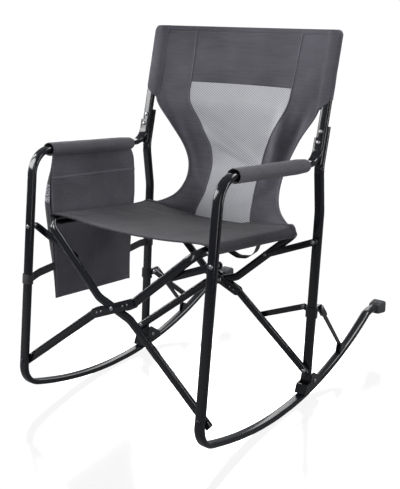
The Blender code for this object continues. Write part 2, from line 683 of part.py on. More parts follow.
def strip_outline(line, thick):
    """Closed outline of a strip of cloth whose middle follows the line."""
    ways = tangents([Vector((*point, 0.0)) for point in line])
    near, far = [], []
    for point, way in zip(line, ways):
        out = Vector((-way.y, way.x)) * thick / 2
        near.append(tuple(Vector(point) + out))
        far.append(tuple(Vector(point) - out))
    return near + far[::-1]


def make_seat(finishes):
    """Cloth slung between the rails, with a loop round each."""
    loop = []
    for step in range(9):
        angle = math.radians(-60 - 30 * step)
        loop.append((-RAIL_X + RAIL_LOOP * math.cos(angle), RAIL_S + RAIL_LOOP * math.sin(angle)))
    count = 12
    middle = []
    for i in range(1, count):
        x = -RAIL_X + 2 * RAIL_X * i / count
        middle.append((x, RAIL_S + RAIL_LOOP - SEAT_SAG * (1 - (x / RAIL_X) ** 2)))
    line = loop + middle + [(-x, s) for x, s in loop[::-1]]
    outline = strip_outline(line, CLOTH)
    data = bmesh.new()
    rings = []
    for place, trim in ((front_point, SEAT_FRONT_TRIM), (rear_point, SEAT_REAR_TRIM)):
        places = [place(x, 0.0, BAR_OFFSET + trim) + seat_up(place, s) for x, s in outline]
        rings.append([data.verts.new(point) for point in places])
    for i in range(len(outline)):
        j = (i + 1) % len(outline)
        data.faces.new((rings[0][i], rings[0][j], rings[1][j], rings[1][i]))
    data.faces.new(rings[0])
    data.faces.new(rings[1])
    new_object("seat_sling", data, finishes["cloth"])


def seat_up(place, s):
    """From the pin's level up to s at the rail's own place along the pivot axis."""
    rail = place(0.0, RAIL_S) - place(0.0, 0.0)
    return PIVOT_AXIS * rail.dot(PIVOT_AXIS) + PIVOT_UP * s


def make_back(finishes):
    """Back cloth: a bowed sheet, narrow at the waist and full width between the posts."""
    data = bmesh.new()
    columns = 8
    grids = []
    for shift in (-CLOTH / 2, CLOTH / 2):
        grid = []
        for z, half, y, bow in BACK_ROWS:
            shares = [2 * i / columns - 1 for i in range(columns + 1)]
            grid.append([data.verts.new((half * u, y + bow * (1 - u**2) + shift, z)) for u in shares])
        grids.append(grid)
        for low, high in zip(grid, grid[1:]):
            for i in range(columns):
                data.faces.new((low[i], low[i + 1], high[i + 1], high[i]))
    rims = [rim_of(grid) for grid in grids]
    for i in range(len(rims[0])):
        data.faces.new((rims[0][i - 1], rims[0][i], rims[1][i], rims[1][i - 1]))
    new_object("back_sling", data, finishes["cloth"])


def rim_of(grid):
    """The grid's outer points, in order round it."""
    rising = [row[-1] for row in grid[1:-1]]
    falling = [row[0] for row in grid[-2:0:-1]]
    return grid[0] + rising + grid[-1][::-1] + falling


def make_arm_sleeve(side, x, finishes):
    ends = []
    for y in SLEEVE_Y:
        ends.append(Vector((x, y, ARM_FRONT_CORNER[1] + ARM_SLOPE * (y - ARM_FRONT_CORNER[0]))))
    way = (ends[1] - ends[0]).normalized()
    outline = flat_oval(SLEEVE_WIDE, SLEEVE_THICK, 9)
    sleeve = side_tube(f"{side}_arm_sleeve", ends, outline, finishes["cloth"])
    clear = flat_oval(FRAME_WIDE + 0.0016, FRAME_THICK + 0.0016)
    bore_ends = [ends[0] - way * 0.02, ends[1] + way * 0.02]
    bore = side_tube(f"{side}_sleeve_bore", bore_ends, clear, finishes["cloth"])
    combine(sleeve, bore, "DIFFERENCE")


def pocket_loft(name, rows, inner_x, inset, finish):
    """Solid through one level rectangle for each row, all of them sloping back like the arm."""
    data = bmesh.new()
    rings = []
    for z, outer_x, front_y, rear_y in rows:
        corners = [(inner_x - inset, front_y + inset), (inner_x - inset, rear_y - inset)]
        corners += [(outer_x + inset, rear_y - inset), (outer_x + inset, front_y + inset)]
        rings.append([data.verts.new((x, y, z + ARM_SLOPE * (y - POCKET_ROWS[0][2]))) for x, y in corners])
    for ring, following in zip(rings, rings[1:]):
        for i in range(4):
            data.faces.new((ring[i - 1], ring[i], following[i], following[i - 1]))
    data.faces.new(rings[0])
    data.faces.new(rings[-1])
    return new_object(name, data, finish)


def make_pocket(finishes):
    """Open-topped pouch that hangs from the left arm, with a strap to each leg."""
    cloth = finishes["cloth"]
    bottom, mouth = POCKET_ROWS[0], POCKET_ROWS[-1]
    pocket = pocket_loft("side_pocket", POCKET_ROWS, POCKET_INNER_X, 0.0, cloth)
    above = POCKET_PANEL_TOP_Z - mouth[0]
    panel_rows = [(mouth[0] - 0.02, POCKET_INNER_X - CLOTH, -0.372, mouth[3])]
    panel_rows.append((POCKET_PANEL_TOP_Z, POCKET_INNER_X - CLOTH, -0.362, mouth[3] - 0.008))
    combine(pocket, pocket_loft("pocket_panel", panel_rows, POCKET_INNER_X, 0.0, cloth), "UNION")
    hollow_rows = [(bottom[0] + CLOTH, *bottom[1:]), *POCKET_ROWS[1:], (mouth[0] + above, *mouth[1:])]
    combine(pocket, pocket_loft("pocket_hollow", hollow_rows, POCKET_INNER_X, CLOTH, cloth), "DIFFERENCE")

    # Straps to the front and rear legs
    front_z, rear_z = STRAP_Z
    front_y = FRONT_PIN.y + FRONT_LEAN * (front_z - FRONT_PIN.z)
    make_leg_strap("front", front_z, front_y, FRONT_LEAN, bottom[2], cloth)
    make_leg_strap("rear", rear_z, rear_leg_y(rear_z), REAR_LEAN, bottom[3], cloth)


def make_leg_strap(end, z, y, lean, pocket_y, cloth):
    """Band of webbing round a left leg, with a tongue that reaches the pocket's edge."""
    x = -HALF_SPAN
    way = Vector((0.0, lean, 1.0)).normalized() * 0.019
    centre = Vector((x, y, z))
    strap = side_tube(f"pocket_{end}_strap", [centre - way, centre + way], flat_oval(0.0345, 0.0195), cloth)
    start_y, stop_y = sorted((pocket_y + math.copysign(0.004, y - pocket_y), y))
    tongue = block(f"{end}_tongue", (x - 0.0015, start_y, z - 0.015), (x + 0.0015, stop_y, z + 0.015), cloth)
    combine(strap, tongue, "UNION")
    clear = flat_oval(FRAME_WIDE + 0.0012, FRAME_THICK + 0.0012)
    bore = side_tube(f"{end}_strap_bore", [centre - way * 2, centre + way * 2], clear, cloth)
    combine(strap, bore, "DIFFERENCE")


def make_pull_strap(finishes):
    """Loop of webbing under the seat, pulled up to fold the chair."""
    line = [(0.100, 0.470), (0.125, 0.450), (0.155, 0.440), (0.185, 0.445), (0.205, 0.462), (0.212, 0.478)]
    place = box_frame(Vector((0.0, PULL_STRAP_Y, 0.0)), ACROSS, Vector((0.0, -1.0, 0.0)))
    plate("pull_strap", strip_outline(line, 0.002), 0.025, place, finishes["cloth"])


# --- the chair -----------------------------------------------------------------------------------


def main():
    for existing in list(bpy.data.objects):
        bpy.data.objects.remove(existing)
    finishes = {
        "frame": material("black_frame", (0.012, 0.012, 0.014), 0.28),
        "rivet": material("steel_rivet", (0.45, 0.45, 0.47), 0.35, 1.0),
        "rubber": material("black_rubber", (0.03, 0.03, 0.033), 0.7),
        "cloth": material("grey_cloth", (0.085, 0.083, 0.10), 0.9),
    }
    for side, x in (("left", -HALF_SPAN), ("right", HALF_SPAN)):
        make_side_frame(side, x, finishes)
        make_tail(side, x, finishes)
        make_collar(side, x, finishes)
        make_braces(side, x, finishes)
        make_arm_sleeve(side, x, finishes)
    make_scissor(finishes)
    make_seat(finishes)
    make_back(finishes)
    make_pocket(finishes)
    make_pull_strap(finishes)
    for made in bpy.data.objects:
        made.location -= ORIGIN


main()
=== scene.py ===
"""Looks of the folding camp rocking chair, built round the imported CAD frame.

Metres, +Z up. The sitter faces -Y, and the pocket hangs on the -X side. Shapes are worked out in the CAD
model's drawing axes and moved by ORIGIN, so that they land in the frame's own axes.
"""

import json
import math

import bmesh
import bpy
from mathutils import Matrix, Vector, noise


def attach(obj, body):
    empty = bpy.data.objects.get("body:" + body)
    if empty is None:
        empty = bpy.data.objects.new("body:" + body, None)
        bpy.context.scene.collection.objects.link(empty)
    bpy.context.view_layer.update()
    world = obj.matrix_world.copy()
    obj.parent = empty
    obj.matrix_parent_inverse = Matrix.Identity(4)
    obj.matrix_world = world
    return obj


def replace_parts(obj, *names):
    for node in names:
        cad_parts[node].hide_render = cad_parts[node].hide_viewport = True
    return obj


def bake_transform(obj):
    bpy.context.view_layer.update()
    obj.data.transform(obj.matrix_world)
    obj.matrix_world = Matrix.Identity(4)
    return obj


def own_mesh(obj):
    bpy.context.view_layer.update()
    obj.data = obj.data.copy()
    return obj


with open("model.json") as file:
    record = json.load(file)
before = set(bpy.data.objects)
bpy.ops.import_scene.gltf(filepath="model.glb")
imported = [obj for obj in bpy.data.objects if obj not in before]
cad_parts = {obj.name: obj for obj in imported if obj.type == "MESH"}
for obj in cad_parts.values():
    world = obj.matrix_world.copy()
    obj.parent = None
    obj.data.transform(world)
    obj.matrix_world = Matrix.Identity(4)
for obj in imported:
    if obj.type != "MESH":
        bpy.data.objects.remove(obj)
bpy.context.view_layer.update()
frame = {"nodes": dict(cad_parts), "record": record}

# Driving dimensions, the same as the CAD model's
ORIGIN = Vector((0.0, 0.01012, 0.00045))
ACROSS = Vector((1.0, 0.0, 0.0))
HALF_SPAN, GAP = 0.310, 0.0006
FRAME_WIDE, FRAME_THICK = 0.030, 0.015
BAR_WIDE, BAR_THICK = 0.024, 0.013
BRACE_WIDE, BRACE_THICK = 0.020, 0.0055
PIN_RADIUS, HEAD_RADIUS, HEAD_HEIGHT = 0.0035, 0.0062, 0.0025
ROCKER_RADIUS, ROCKER_LOW_Y, LEVEL_HALF = 1.15, -0.106, 0.032
FRONT_LEAN, REAR_LEAN = 0.130, 0.0787
ARM_FRONT_CORNER, ARM_SLOPE = (-0.4300, 0.7445), -0.088
FRONT_PIN_Z = 0.1475
FRONT_PIN_Y = ARM_FRONT_CORNER[0] + FRONT_LEAN * (FRONT_PIN_Z - ARM_FRONT_CORNER[1])
FRONT_PIN = Vector((0.0, FRONT_PIN_Y, FRONT_PIN_Z))
REAR_PIN = Vector((0.0, 0.0330, 0.0853))
POST_LEAN, POST_BOTTOM, POST_TOP_Z = 0.263, (0.0440, 0.700), 1.050
LEG_KINKS_Z, LEG_TOP_Z, LEG_FOOT_Z = (0.560, 0.686), 0.7995, 0.0265
POST_RIVET_Z, ARM_RIVET_Z = 0.7865, 0.7570
TIP_Z, TIP_THICK, TIP_LENGTH, TIP_TAPER = 0.770, 0.005, 0.034, 0.040
ROCKER_TURN_Y, ROCKER_END_Y = -0.468, 0.050
PIVOT_AXIS = (REAR_PIN - FRONT_PIN).normalized()
PIVOT_UP = ACROSS.cross(PIVOT_AXIS)
HUB_S, HUB_HALF, HUB_SLOPE = 0.218, 0.055, 0.34
RAIL_X, RAIL_S = 0.2585, 0.4135
BAR_OFFSET = FRAME_THICK / 2 + BAR_THICK / 2 + 0.0015
BRACE_OFFSET = BAR_OFFSET + BAR_THICK / 2 + GAP + BRACE_THICK / 2
BRACE_X, BRACE_LEG_S = 0.158, 0.38846
SPLIT_X, LONG_END, SHORT_END = 0.040, 0.024, 0.014
HUB_PLATE_HALF, HUB_PLATE_THICK, HUB_GAP = 0.064, 0.0025, 0.0012
TAIL_START_Y, TAIL_BEND_Y, TAIL_END_Y = 0.054, 0.425, 0.520
CAP_CENTRE, CAP_SIZE = (0.512, 0.134), (0.054, 0.054, 0.048)
SEAT_SAG, RAIL_LOOP = 0.018, 0.0153
SEAT_FRONT_TRIM, SEAT_REAR_TRIM = 0.040, 0.048

# Looks only
TUBE_WALL, PLUG_DEPTH, POST_HIDDEN = 0.0014, 0.004, 0.014
LEG_BEND, TIP_BEND, ARM_BEND, BAR_BEND, RAIL_BEND = 0.12, 0.050, 0.070, 0.05, 0.045
CLOTH, HEAVY_CLOTH, STRAP_THICK = 0.0016, 0.0018, 0.0022
STITCH_PITCH, STITCH_LENGTH = 0.0042, 0.0028
THREAD_PITCH, THREAD_TWIST, MESH_SLANT = 0.0013, math.pi / 9000, 33.0
POCKET_X = -0.309
SLEEVE_Y, SLEEVE_WIDE, SLEEVE_THICK, SLEEVE_DROP = (-0.372, -0.022), 0.043, 0.039, 0.0025
SIDES = (("left", -1), ("right", 1))
UP, BACKWARD = Vector((0.0, 0.0, 1.0)), Vector((0.0, 1.0, 0.0))
POST_WAY = Vector((0.0, POST_LEAN, 1.0)).normalized()
WHITE = (1.0, 1.0, 1.0, 1.0)
CAMERA_PLACE, CAMERA_LENS = Vector((1.404, -2.020, 1.1525)), 76.25
CAMERA_DIP, CAMERA_TURN = 16.48, 35.9
LAMP_TARGET = Vector((0.0, 0.0, 0.5))
CAP_FIT, CAP_NOSE_WIDE, CAP_NOSE_HIGH, CAP_NOSE_RISE = (0.90, 0.94, 0.90), 0.80, 0.78, 0.003
EDGE_ANGLE, CLOTH_SHARP, RUBBER_SHARP = 35.0, 60.0, 50.0
OVAL_POINTS, LINK_STEPS, ARC_STEP, LONGEST_STEP = 32, 10, math.radians(3.5), 0.010
SLEEVE_STEPS, SLEEVE_POINTS = 44, 40

# Back cloth, row by row from the top: edge's height, half-width and y; middle's height and y; mesh half-width
BACK_ROWS = [
    (1.0580, 0.2930, 0.1385, 1.0555, 0.1860, 0.1860),
    (1.0100, 0.2930, 0.1255, 1.0100, 0.1720, 0.1850),
    (0.9600, 0.2930, 0.1125, 0.9600, 0.1580, 0.1830),
    (0.8950, 0.2930, 0.0955, 0.8950, 0.1370, 0.1800),
    (0.8550, 0.2910, 0.0855, 0.8550, 0.1240, 0.1790),
    (0.8200, 0.2790, 0.0800, 0.8200, 0.1150, 0.1680),
    (0.7600, 0.2340, 0.0860, 0.7600, 0.1140, 0.1270),
    (0.7000, 0.1960, 0.0980, 0.7000, 0.1150, 0.0990),
    (0.6500, 0.1750, 0.0980, 0.6500, 0.1080, 0.0890),
    (0.6050, 0.1700, 0.0850, 0.6050, 0.0870, 0.0870),
    (0.5700, 0.1780, 0.0660, 0.5720, 0.0700, 0.0890),
    (0.5450, 0.1960, 0.0480, 0.5480, 0.0570, 0.0920),
    (0.5290, 0.2230, 0.0290, 0.5280, 0.0480, 0.0960),
    (0.5200, 0.2470, 0.0120, 0.5110, 0.0420, 0.1000),
    (0.5120, 0.2500, 0.0070, 0.4900, 0.0385, 0.1030),
]
MESH_TOP_ROW, SLEEVE_ROWS_Z = 0.8950, (0.8720, 1.0585)


# --- materials ---


def add_node(tree, kind, inputs=None, **settings):
    node = tree.nodes.new(kind)
    for key, value in settings.items():
        setattr(node, key, value)
    for socket, value in (inputs or {}).items():
        if isinstance(value, bpy.types.NodeSocket):
            tree.links.new(value, node.inputs[socket])
        else:
            node.inputs[socket].default_value = value
    return node


class Finish:
    """Principled material, and the nodes that feed its shader."""

    def __init__(self, name, **values):
        self.material = bpy.data.materials.new(name)
        self.material.use_nodes = True
        self.tree = self.material.node_tree
        self.shader = self.tree.nodes["Principled BSDF"]
        for socket, value in values.items():
            self.shader.inputs[socket.replace("_", " ")].default_value = value

    def place(self, turn=(0.0, 0.0, 0.0), scale=(1.0, 1.0, 1.0)):
        """Object coordinates, turned and scaled."""
        coords = add_node(self.tree, "ShaderNodeTexCoord").outputs["Object"]
        inputs = {"Vector": coords, "Rotation": turn, "Scale": scale}
        return add_node(self.tree, "ShaderNodeMapping", inputs).outputs["Vector"]

    def noise(self, place, scale, detail=3.0, roughness=0.5):
        inputs = {"Vector": place, "Scale": scale, "Detail": detail, "Roughness": roughness}
        return add_node(self.tree, "ShaderNodeTexNoise", inputs).outputs["Fac"]

    def bands(self, place, pitch, direction, distortion=0.0):
        """Soft bands, pitch apart: Blender's are pi / 10 apart at a scale of 1."""
        scale = math.pi / 10 / pitch
        inputs = {"Vector": place, "Scale": scale, "Distortion": distortion, "Detail": 1.0, "Detail Scale": 2.0}
        settings = {"wave_type": "BANDS", "bands_direction": direction, "wave_profile": "SIN"}
        return add_node(self.tree, "ShaderNodeTexWave", inputs, **settings).outputs["Fac"]

    def weave(self, place, pitch, directions):
        """Height of a plain weave: threads along two axes, each wider than its gap."""
        threads = [self.bands(place, pitch, way, 0.4) for way in directions]
        return self.maths("MULTIPLY", *(self.maths("ADD", each, 0.35) for each in threads))

    def maths(self, operation, first, second):
        return add_node(self.tree, "ShaderNodeMath", {0: first, 1: second}, operation=operation).outputs[0]

    def total(self, *parts):
        """Sum of values, each with its share."""
        made = None
        for value, share in parts:
            value = value if share == 1.0 else self.maths("MULTIPLY", value, share)
            made = self.maths("ADD", made, value) if made else value
        return made

    def span(self, value, to_low, to_high, low=0.3, high=0.7):
        inputs = {"Value": value, "From Min": low, "From Max": high, "To Min": to_low, "To Max": to_high}
        return add_node(self.tree, "ShaderNodeMapRange", inputs).outputs["Result"]

    def colour(self, factor, dark, light):
        node = self.tree.nodes.new("ShaderNodeMix")
        node.data_type = "RGBA"
        self.tree.links.new(factor, node.inputs["Factor"])
        # The colour sockets share their names with the number and vector ones, so they go by index
        node.inputs[6].default_value = (*dark, 1.0)
        node.inputs[7].default_value = (*light, 1.0)
        self.feed("Base Color", node.outputs[2])

    def bump(self, height, distance, strength):
        inputs = {"Height": height, "Distance": distance, "Strength": strength}
        self.feed("Normal", add_node(self.tree, "ShaderNodeBump", inputs).outputs["Normal"])

    def feed(self, socket, value):
        self.tree.links.new(value, self.shader.inputs[socket])


def powder_coat():
    made = Finish("black_powder_coat", Specular_IOR_Level=0.42)
    place = made.place()
    cloudy = made.noise(place, 14.0)
    grain = made.noise(place, 900.0, 2.0)
    made.colour(cloudy, (0.0045, 0.0050, 0.0070), (0.0080, 0.0085, 0.0110))
    made.feed("Roughness", made.total((made.span(cloudy, 0.11, 0.15), 1.0), (grain, 0.04)))
    made.bump(grain, 0.00010, 0.12)
    return made.material


def plain_steel():
    made = Finish("dull_steel", Metallic=0.9)
    spots = made.noise(made.place(), 420.0, 4.0)
    made.colour(spots, (0.17, 0.17, 0.18), (0.31, 0.31, 0.33))
    made.feed("Roughness", made.span(spots, 0.28, 0.45))
    made.bump(spots, 0.0002, 0.3)
    return made.material


def moulded_rubber():
    made = Finish("dark_rubber", Specular_IOR_Level=0.35)
    place = made.place()
    grain = made.noise(place, 650.0, 4.0, 0.7)
    made.colour(made.noise(place, 30.0), (0.030, 0.031, 0.034), (0.045, 0.046, 0.050))
    made.feed("Roughness", made.span(grain, 0.55, 0.72))
    made.bump(grain, 0.0004, 0.4)
    return made.material


def woven_cloth(name, dark, light, directions=("X", "Z")):
    """Heavy woven polyester with faint slubs and a soft sheen."""
    made = Finish(name, Specular_IOR_Level=0.20, Sheen_Weight=0.12, Sheen_Roughness=0.45)
    place = made.place()
    threads = made.weave(place, THREAD_PITCH, directions)
    slubs = made.noise(made.place(scale=(1.0, 6.0, 14.0)), 13.0, 4.0)
    patches = made.noise(place, 7.0, 2.0)
    tone = made.total((slubs, 0.35), (patches, 0.65), (threads, 0.16))
    made.colour(made.span(tone, 0.0, 1.0, 0.40, 0.78), dark, light)
    made.feed("Roughness", made.span(slubs, 0.70, 0.82))
    made.bump(made.total((threads, 1.0), (slubs, 0.6)), 0.0005, 0.5)
    return made.material


def spacer_mesh():
    """Light open mesh: small holes in slanting rows."""
    made = Finish("light_mesh", Specular_IOR_Level=0.3, Roughness=0.75)
    slanted = made.place(turn=(0.0, math.radians(MESH_SLANT), 0.0))
    rows = made.bands(slanted, 0.0046, "Z")
    holes = made.maths("MULTIPLY", rows, made.bands(slanted, 0.0040, "X"))
    tone = made.total((holes, 0.55), (rows, 0.45))
    tone = made.total((tone, 0.85), (made.noise(made.place(), 9.0, 2.0), 0.15))
    made.colour(tone, (0.120, 0.123, 0.138), (0.82, 0.825, 0.855))
    made.bump(tone, 0.0008, 0.6)
    return made.material


def pocket_net_painted_glints():
    """Black net, with pale glints painted between its knots as painted highlights."""
    made = Finish("pocket_net_painted_glints", Specular_IOR_Level=0.3, Roughness=0.8)
    cells = add_node(made.tree, "ShaderNodeTexVoronoi", {"Vector": made.place(), "Scale": 260.0})
    distance = cells.outputs["Distance"]
    tone = made.maths("MULTIPLY", distance, made.noise(made.place(), 160.0, 2.0))
    # The pale colour is painted highlight: glints on the net.
    made.colour(made.span(tone, 0.0, 1.0, 0.14, 0.42), (0.012, 0.012, 0.015), (0.42, 0.43, 0.46))
    made.bump(distance, 0.0010, 0.7)
    return made.material


def webbing():
    made = Finish("dark_webbing", Specular_IOR_Level=0.3, Sheen_Weight=0.15)
    place = made.place()
    fuzz = made.noise(place, 300.0)
    tone = made.total((made.bands(place, 0.0022, "DIAGONAL"), 0.6), (fuzz, 0.4))
    made.colour(tone, (0.010, 0.010, 0.012), (0.035, 0.035, 0.040))
    made.feed("Roughness", made.span(fuzz, 0.6, 0.8))
    made.bump(tone, 0.0004, 0.6)
    return made.material


def thread():
    made = Finish("grey_thread", Roughness=0.7)
    made.colour(made.bands(made.place(), THREAD_TWIST, "DIAGONAL"), (0.10, 0.10, 0.115), (0.18, 0.18, 0.20))
    return made.material


def studio_floor():
    """Bright glossy floor: the camera sees it glow and mirror the chair faintly, and it lights the chair little."""
    made = Finish("pale_floor", Roughness=0.9, Specular_IOR_Level=0.0)
    made.colour(made.noise(made.place(), 3.0), (0.24, 0.24, 0.245), (0.27, 0.27, 0.275))
    glow = add_node(made.tree, "ShaderNodeEmission", {"Color": WHITE, "Strength": 1.56})
    mirror = add_node(made.tree, "ShaderNodeBsdfGlossy", {"Color": WHITE, "Roughness": 0.10})
    seen = add_node(made.tree, "ShaderNodeMixShader", {0: 0.42, 1: glow.outputs[0], 2: mirror.outputs[0]})
    surface = made.tree.nodes["Material Output"].inputs["Surface"]
    made.tree.links.new(seen_or_lit(made.tree, seen, made.shader), surface)
    return made.material


def seen_or_lit(tree, seen, lit):
    """Mixes two shaders: the camera sees one, and the other lights the chair."""
    path = add_node(tree, "ShaderNodeLightPath").outputs["Is Camera Ray"]
    return add_node(tree, "ShaderNodeMixShader", {0: path, 1: lit.outputs[0], 2: seen.outputs[0]}).outputs[0]


FRAME_PAINT = powder_coat()
STEEL = plain_steel()
RUBBER = moulded_rubber()
BACK_CLOTH = woven_cloth("grey_back_cloth", (0.053, 0.051, 0.062), (0.108, 0.104, 0.123))
TRIM_CLOTH = woven_cloth("grey_binding", (0.076, 0.074, 0.088), (0.130, 0.127, 0.146))
# The seat is the back's grey cloth painted much darker: painted shade over its upward-facing top.
SHADED_SEAT_CLOTH = woven_cloth("grey_seat_cloth_painted_shade", (0.016, 0.0156, 0.0195), (0.044, 0.042, 0.051), ("X", "Y"))
# The arm pads' cloth is the back's grey cloth painted a little darker: painted shade over the arms' lit tops.
SHADED_ARM_CLOTH = woven_cloth("grey_arm_cloth_painted_shade", (0.050, 0.049, 0.057), (0.094, 0.092, 0.104), ("Y", "Z"))
POCKET_CLOTH = woven_cloth("grey_pocket_cloth", (0.052, 0.050, 0.060), (0.110, 0.107, 0.124), ("Y", "Z"))
NET_PAINTED_GLINTS = pocket_net_painted_glints()
# Near-black cloth: the pocket pouch's real black strips, and painted shade inside the arm pads' mouths.
LINING_AND_SHADE_CLOTH = woven_cloth("dark_lining_and_painted_shade", (0.010, 0.010, 0.012), (0.024, 0.024, 0.028), ("Y", "Z"))
MESH = spacer_mesh()
WEBBING = webbing()
THREAD = thread()


# --- mesh helpers ---


def new_object(name, data):
    made = bpy.data.objects.new(name, data)
    bpy.context.scene.collection.objects.link(made)
    return made


def piece(name, body, data, finish, sharp=EDGE_ANGLE):
    """Makes a piece of the bmesh, in the frame's axes, with its round sides smooth; it rides on the body."""
    bmesh.ops.recalc_face_normals(data, faces=data.faces)
    bmesh.ops.translate(data, verts=data.verts, vec=-ORIGIN)
    mesh = bpy.data.meshes.new(name)
    data.to_mesh(mesh)
    data.free()
    for each in finish if isinstance(finish, (list, tuple)) else [finish]:
        mesh.materials.append(each)
    mesh.shade_smooth()
    mesh.set_sharp_from_angle(angle=math.radians(sharp))
    made = new_object(name, mesh)
    if body:
        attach(made, body)
    return made


def flat_oval(wide, thick, segments=9):
    radius = thick / 2
    straight = wide / 2 - radius
    points = []
    for side in (1, -1):
        for step in range(segments):
            angle = -math.pi / 2 + math.pi * step / (segments - 1)
            points.append((side * (straight + radius * math.cos(angle)), side * radius * math.sin(angle)))
    return points


def soft_oval(wide, thick):
    """Outline of a rolled tube, between an ellipse and a rounded box."""
    points = []
    for i in range(OVAL_POINTS):
        angle = 2 * math.pi * i / OVAL_POINTS
        across, up = math.cos(angle), math.sin(angle)
        reach = math.copysign(abs(across) ** 0.8, across), math.copysign(abs(up) ** 0.8, up)
        points.append((reach[0] * wide / 2, reach[1] * thick / 2))
    return points


def circle_outline(radius, segments=20):
    turn = 2 * math.pi / segments
    return [(radius * math.cos(turn * i), radius * math.sin(turn * i)) for i in range(segments)]


def rounded_path(corners, radii):
    """Polyline through corners, each inner corner replaced by an arc of its radius."""
    corners = [Vector(corner) for corner in corners]
    path = [corners[0]]
    for before, corner, after, radius in zip(corners, corners[1:], corners[2:], radii):
        back = (before - corner).normalized()
        ahead = (after - corner).normalized()
        half = back.angle(ahead) / 2
        if radius <= 0 or half > math.radians(89.5):
            path.append(corner)
            continue
        centre = corner + (back + ahead).normalized() * radius / math.sin(half)
        start = corner + back * radius / math.tan(half) - centre
        end = corner + ahead * radius / math.tan(half) - centre
        count = max(2, math.ceil(start.angle(end) / ARC_STEP))
        path.extend(centre + start.slerp(end, i / count).normalized() * radius for i in range(count + 1))
    return path + [corners[-1]]


def tangents(path):
    """Direction at each point, halfway between the stretches that meet there."""
    ahead = [(b - a).normalized() for a, b in zip(path, path[1:])]
    middle = [(a + b).normalized() for a, b in zip(ahead, ahead[1:])]
    return [ahead[0]] + middle + [ahead[-1]]


def box_frame(origin, x_axis, z_axis):
    """Matrix of a frame at origin, with its Z along z_axis and its X near x_axis."""
    z_axis = z_axis.normalized()
    x_axis = (x_axis - z_axis * x_axis.dot(z_axis)).normalized()
    y_axis = z_axis.cross(x_axis)
    return Matrix.Translation(origin) @ Matrix((x_axis, y_axis, z_axis)).transposed().to_4x4()


def join_rings(data, rings):
    """Faces between rings that follow one another."""
    count = len(rings[0])
    for ring, following in zip(rings, rings[1:]):
        for i in range(count):
            j = (i + 1) % count
            data.faces.new((ring[i], ring[j], following[j], following[i]))


def loft(rings, caps=(0, -1)):
    """Solid through rings of points that follow one another, with a face over the rings named in caps."""
    data = bmesh.new()
    made = [[data.verts.new(point) for point in ring] for ring in rings]
    join_rings(data, made)
    for cap in caps:
        data.faces.new(made[cap])
    return data


def tube_rings(data, path, wides, outline, sizes):
    rings = []
    for point, along, wide, size in zip(path, tangents(path), wides, sizes):
        wide = (wide - along * wide.dot(along)).normalized()
        thick = along.cross(wide)
        rings.append([data.verts.new(point + wide * u * size[0] + thick * v * size[1]) for u, v in outline])
    return rings


def recessed_end(data, ring, inward):
    """Closes a tube's end as its wall with a plug set a little way in."""
    centre = sum((vert.co for vert in ring), Vector()) / len(ring)
    inner = []
    for vert in ring:
        out = vert.co - centre
        inner.append(centre + out * max(0.2, 1.0 - TUBE_WALL / out.length))
    rim = [data.verts.new(point) for point in inner]
    low = [data.verts.new(point + inward * PLUG_DEPTH) for point in inner]
    join_rings(data, [ring, rim, low])
    data.faces.new(low)


def tube(name, body, path, outline, node, wides=None, sizes=None):
    """Tube swept along the path, in place of the CAD node; wides gives the outline's first axis at each point."""
    data = bmesh.new()
    sizes = sizes or [(1.0, 1.0)] * len(path)
    rings = tube_rings(data, path, wides or [ACROSS] * len(path), outline, sizes)
    join_rings(data, rings)
    recessed_end(data, rings[0], (path[1] - path[0]).normalized())
    recessed_end(data, rings[-1], (path[-2] - path[-1]).normalized())
    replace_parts(piece(name, body, data, FRAME_PAINT), node)


def soften_edges(data, width, segments=2):
    """Rounds every edge that turns by more than EDGE_ANGLE degrees."""
    bmesh.ops.recalc_face_normals(data, faces=data.faces)
    sharp = [edge for edge in data.edges if edge.is_manifold and edge.calc_face_angle(0.0) > math.radians(EDGE_ANGLE)]
    bmesh.ops.bevel(data, geom=sharp, offset=width, segments=segments, profile=0.6, affect="EDGES")


def slab(data, outline, thickness, place):
    """Flat plate: outline in place's X and Y, centred on its Z."""
    low = [data.verts.new(place @ Vector((u, v, -thickness / 2))) for u, v in outline]
    high = [data.verts.new(place @ Vector((u, v, thickness / 2))) for u, v in outline]
    join_rings(data, [low, high])
    data.faces.new(low)
    data.faces.new(high)


def link_outline(length, wide):
    """Bar with round ends, from the origin to a length along X."""
    outline = []
    for centre, turn in ((length, -90.0), (0.0, 90.0)):
        for step in range(LINK_STEPS + 1):
            angle = math.radians(turn + 180.0 * step / LINK_STEPS)
            outline.append((centre + wide / 2 * math.cos(angle), wide / 2 * math.sin(angle)))
    return outline


def bar_link(name, body, ends, wide, thick, axis):
    """Flat bar with round ends and softened edges."""
    start, end = ends
    data = bmesh.new()
    slab(data, link_outline((end - start).length, wide), thick, box_frame(start, end - start, axis))
    soften_edges(data, min(0.0008, thick * 0.3))
    return piece(name, body, data, FRAME_PAINT)


def turned(name, body, profile, origin, axis, finish=None, segments=20):
    """Rivet's solid, turned about axis from origin: profile is (distance along the axis, radius)."""
    place = box_frame(origin, axis.orthogonal().normalized(), axis)
    rings = []
    for along, radius in profile:
        rings.append([place @ Vector((u, v, along)) for u, v in circle_outline(radius, segments)])
    data = loft(rings)
    return piece(name, body, data, finish or STEEL)


def dome(face, out, radius=HEAD_RADIUS, height=HEAD_HEIGHT):
    """Profile of a rivet's head, from its rim on the face to its flattened top."""
    shares = ((1.0, 0.0), (0.97, 0.30), (0.85, 0.62), (0.64, 0.86), (0.38, 0.97), (0.20, 1.0))
    return [(face + out * height * rise, radius * share) for share, rise in shares]


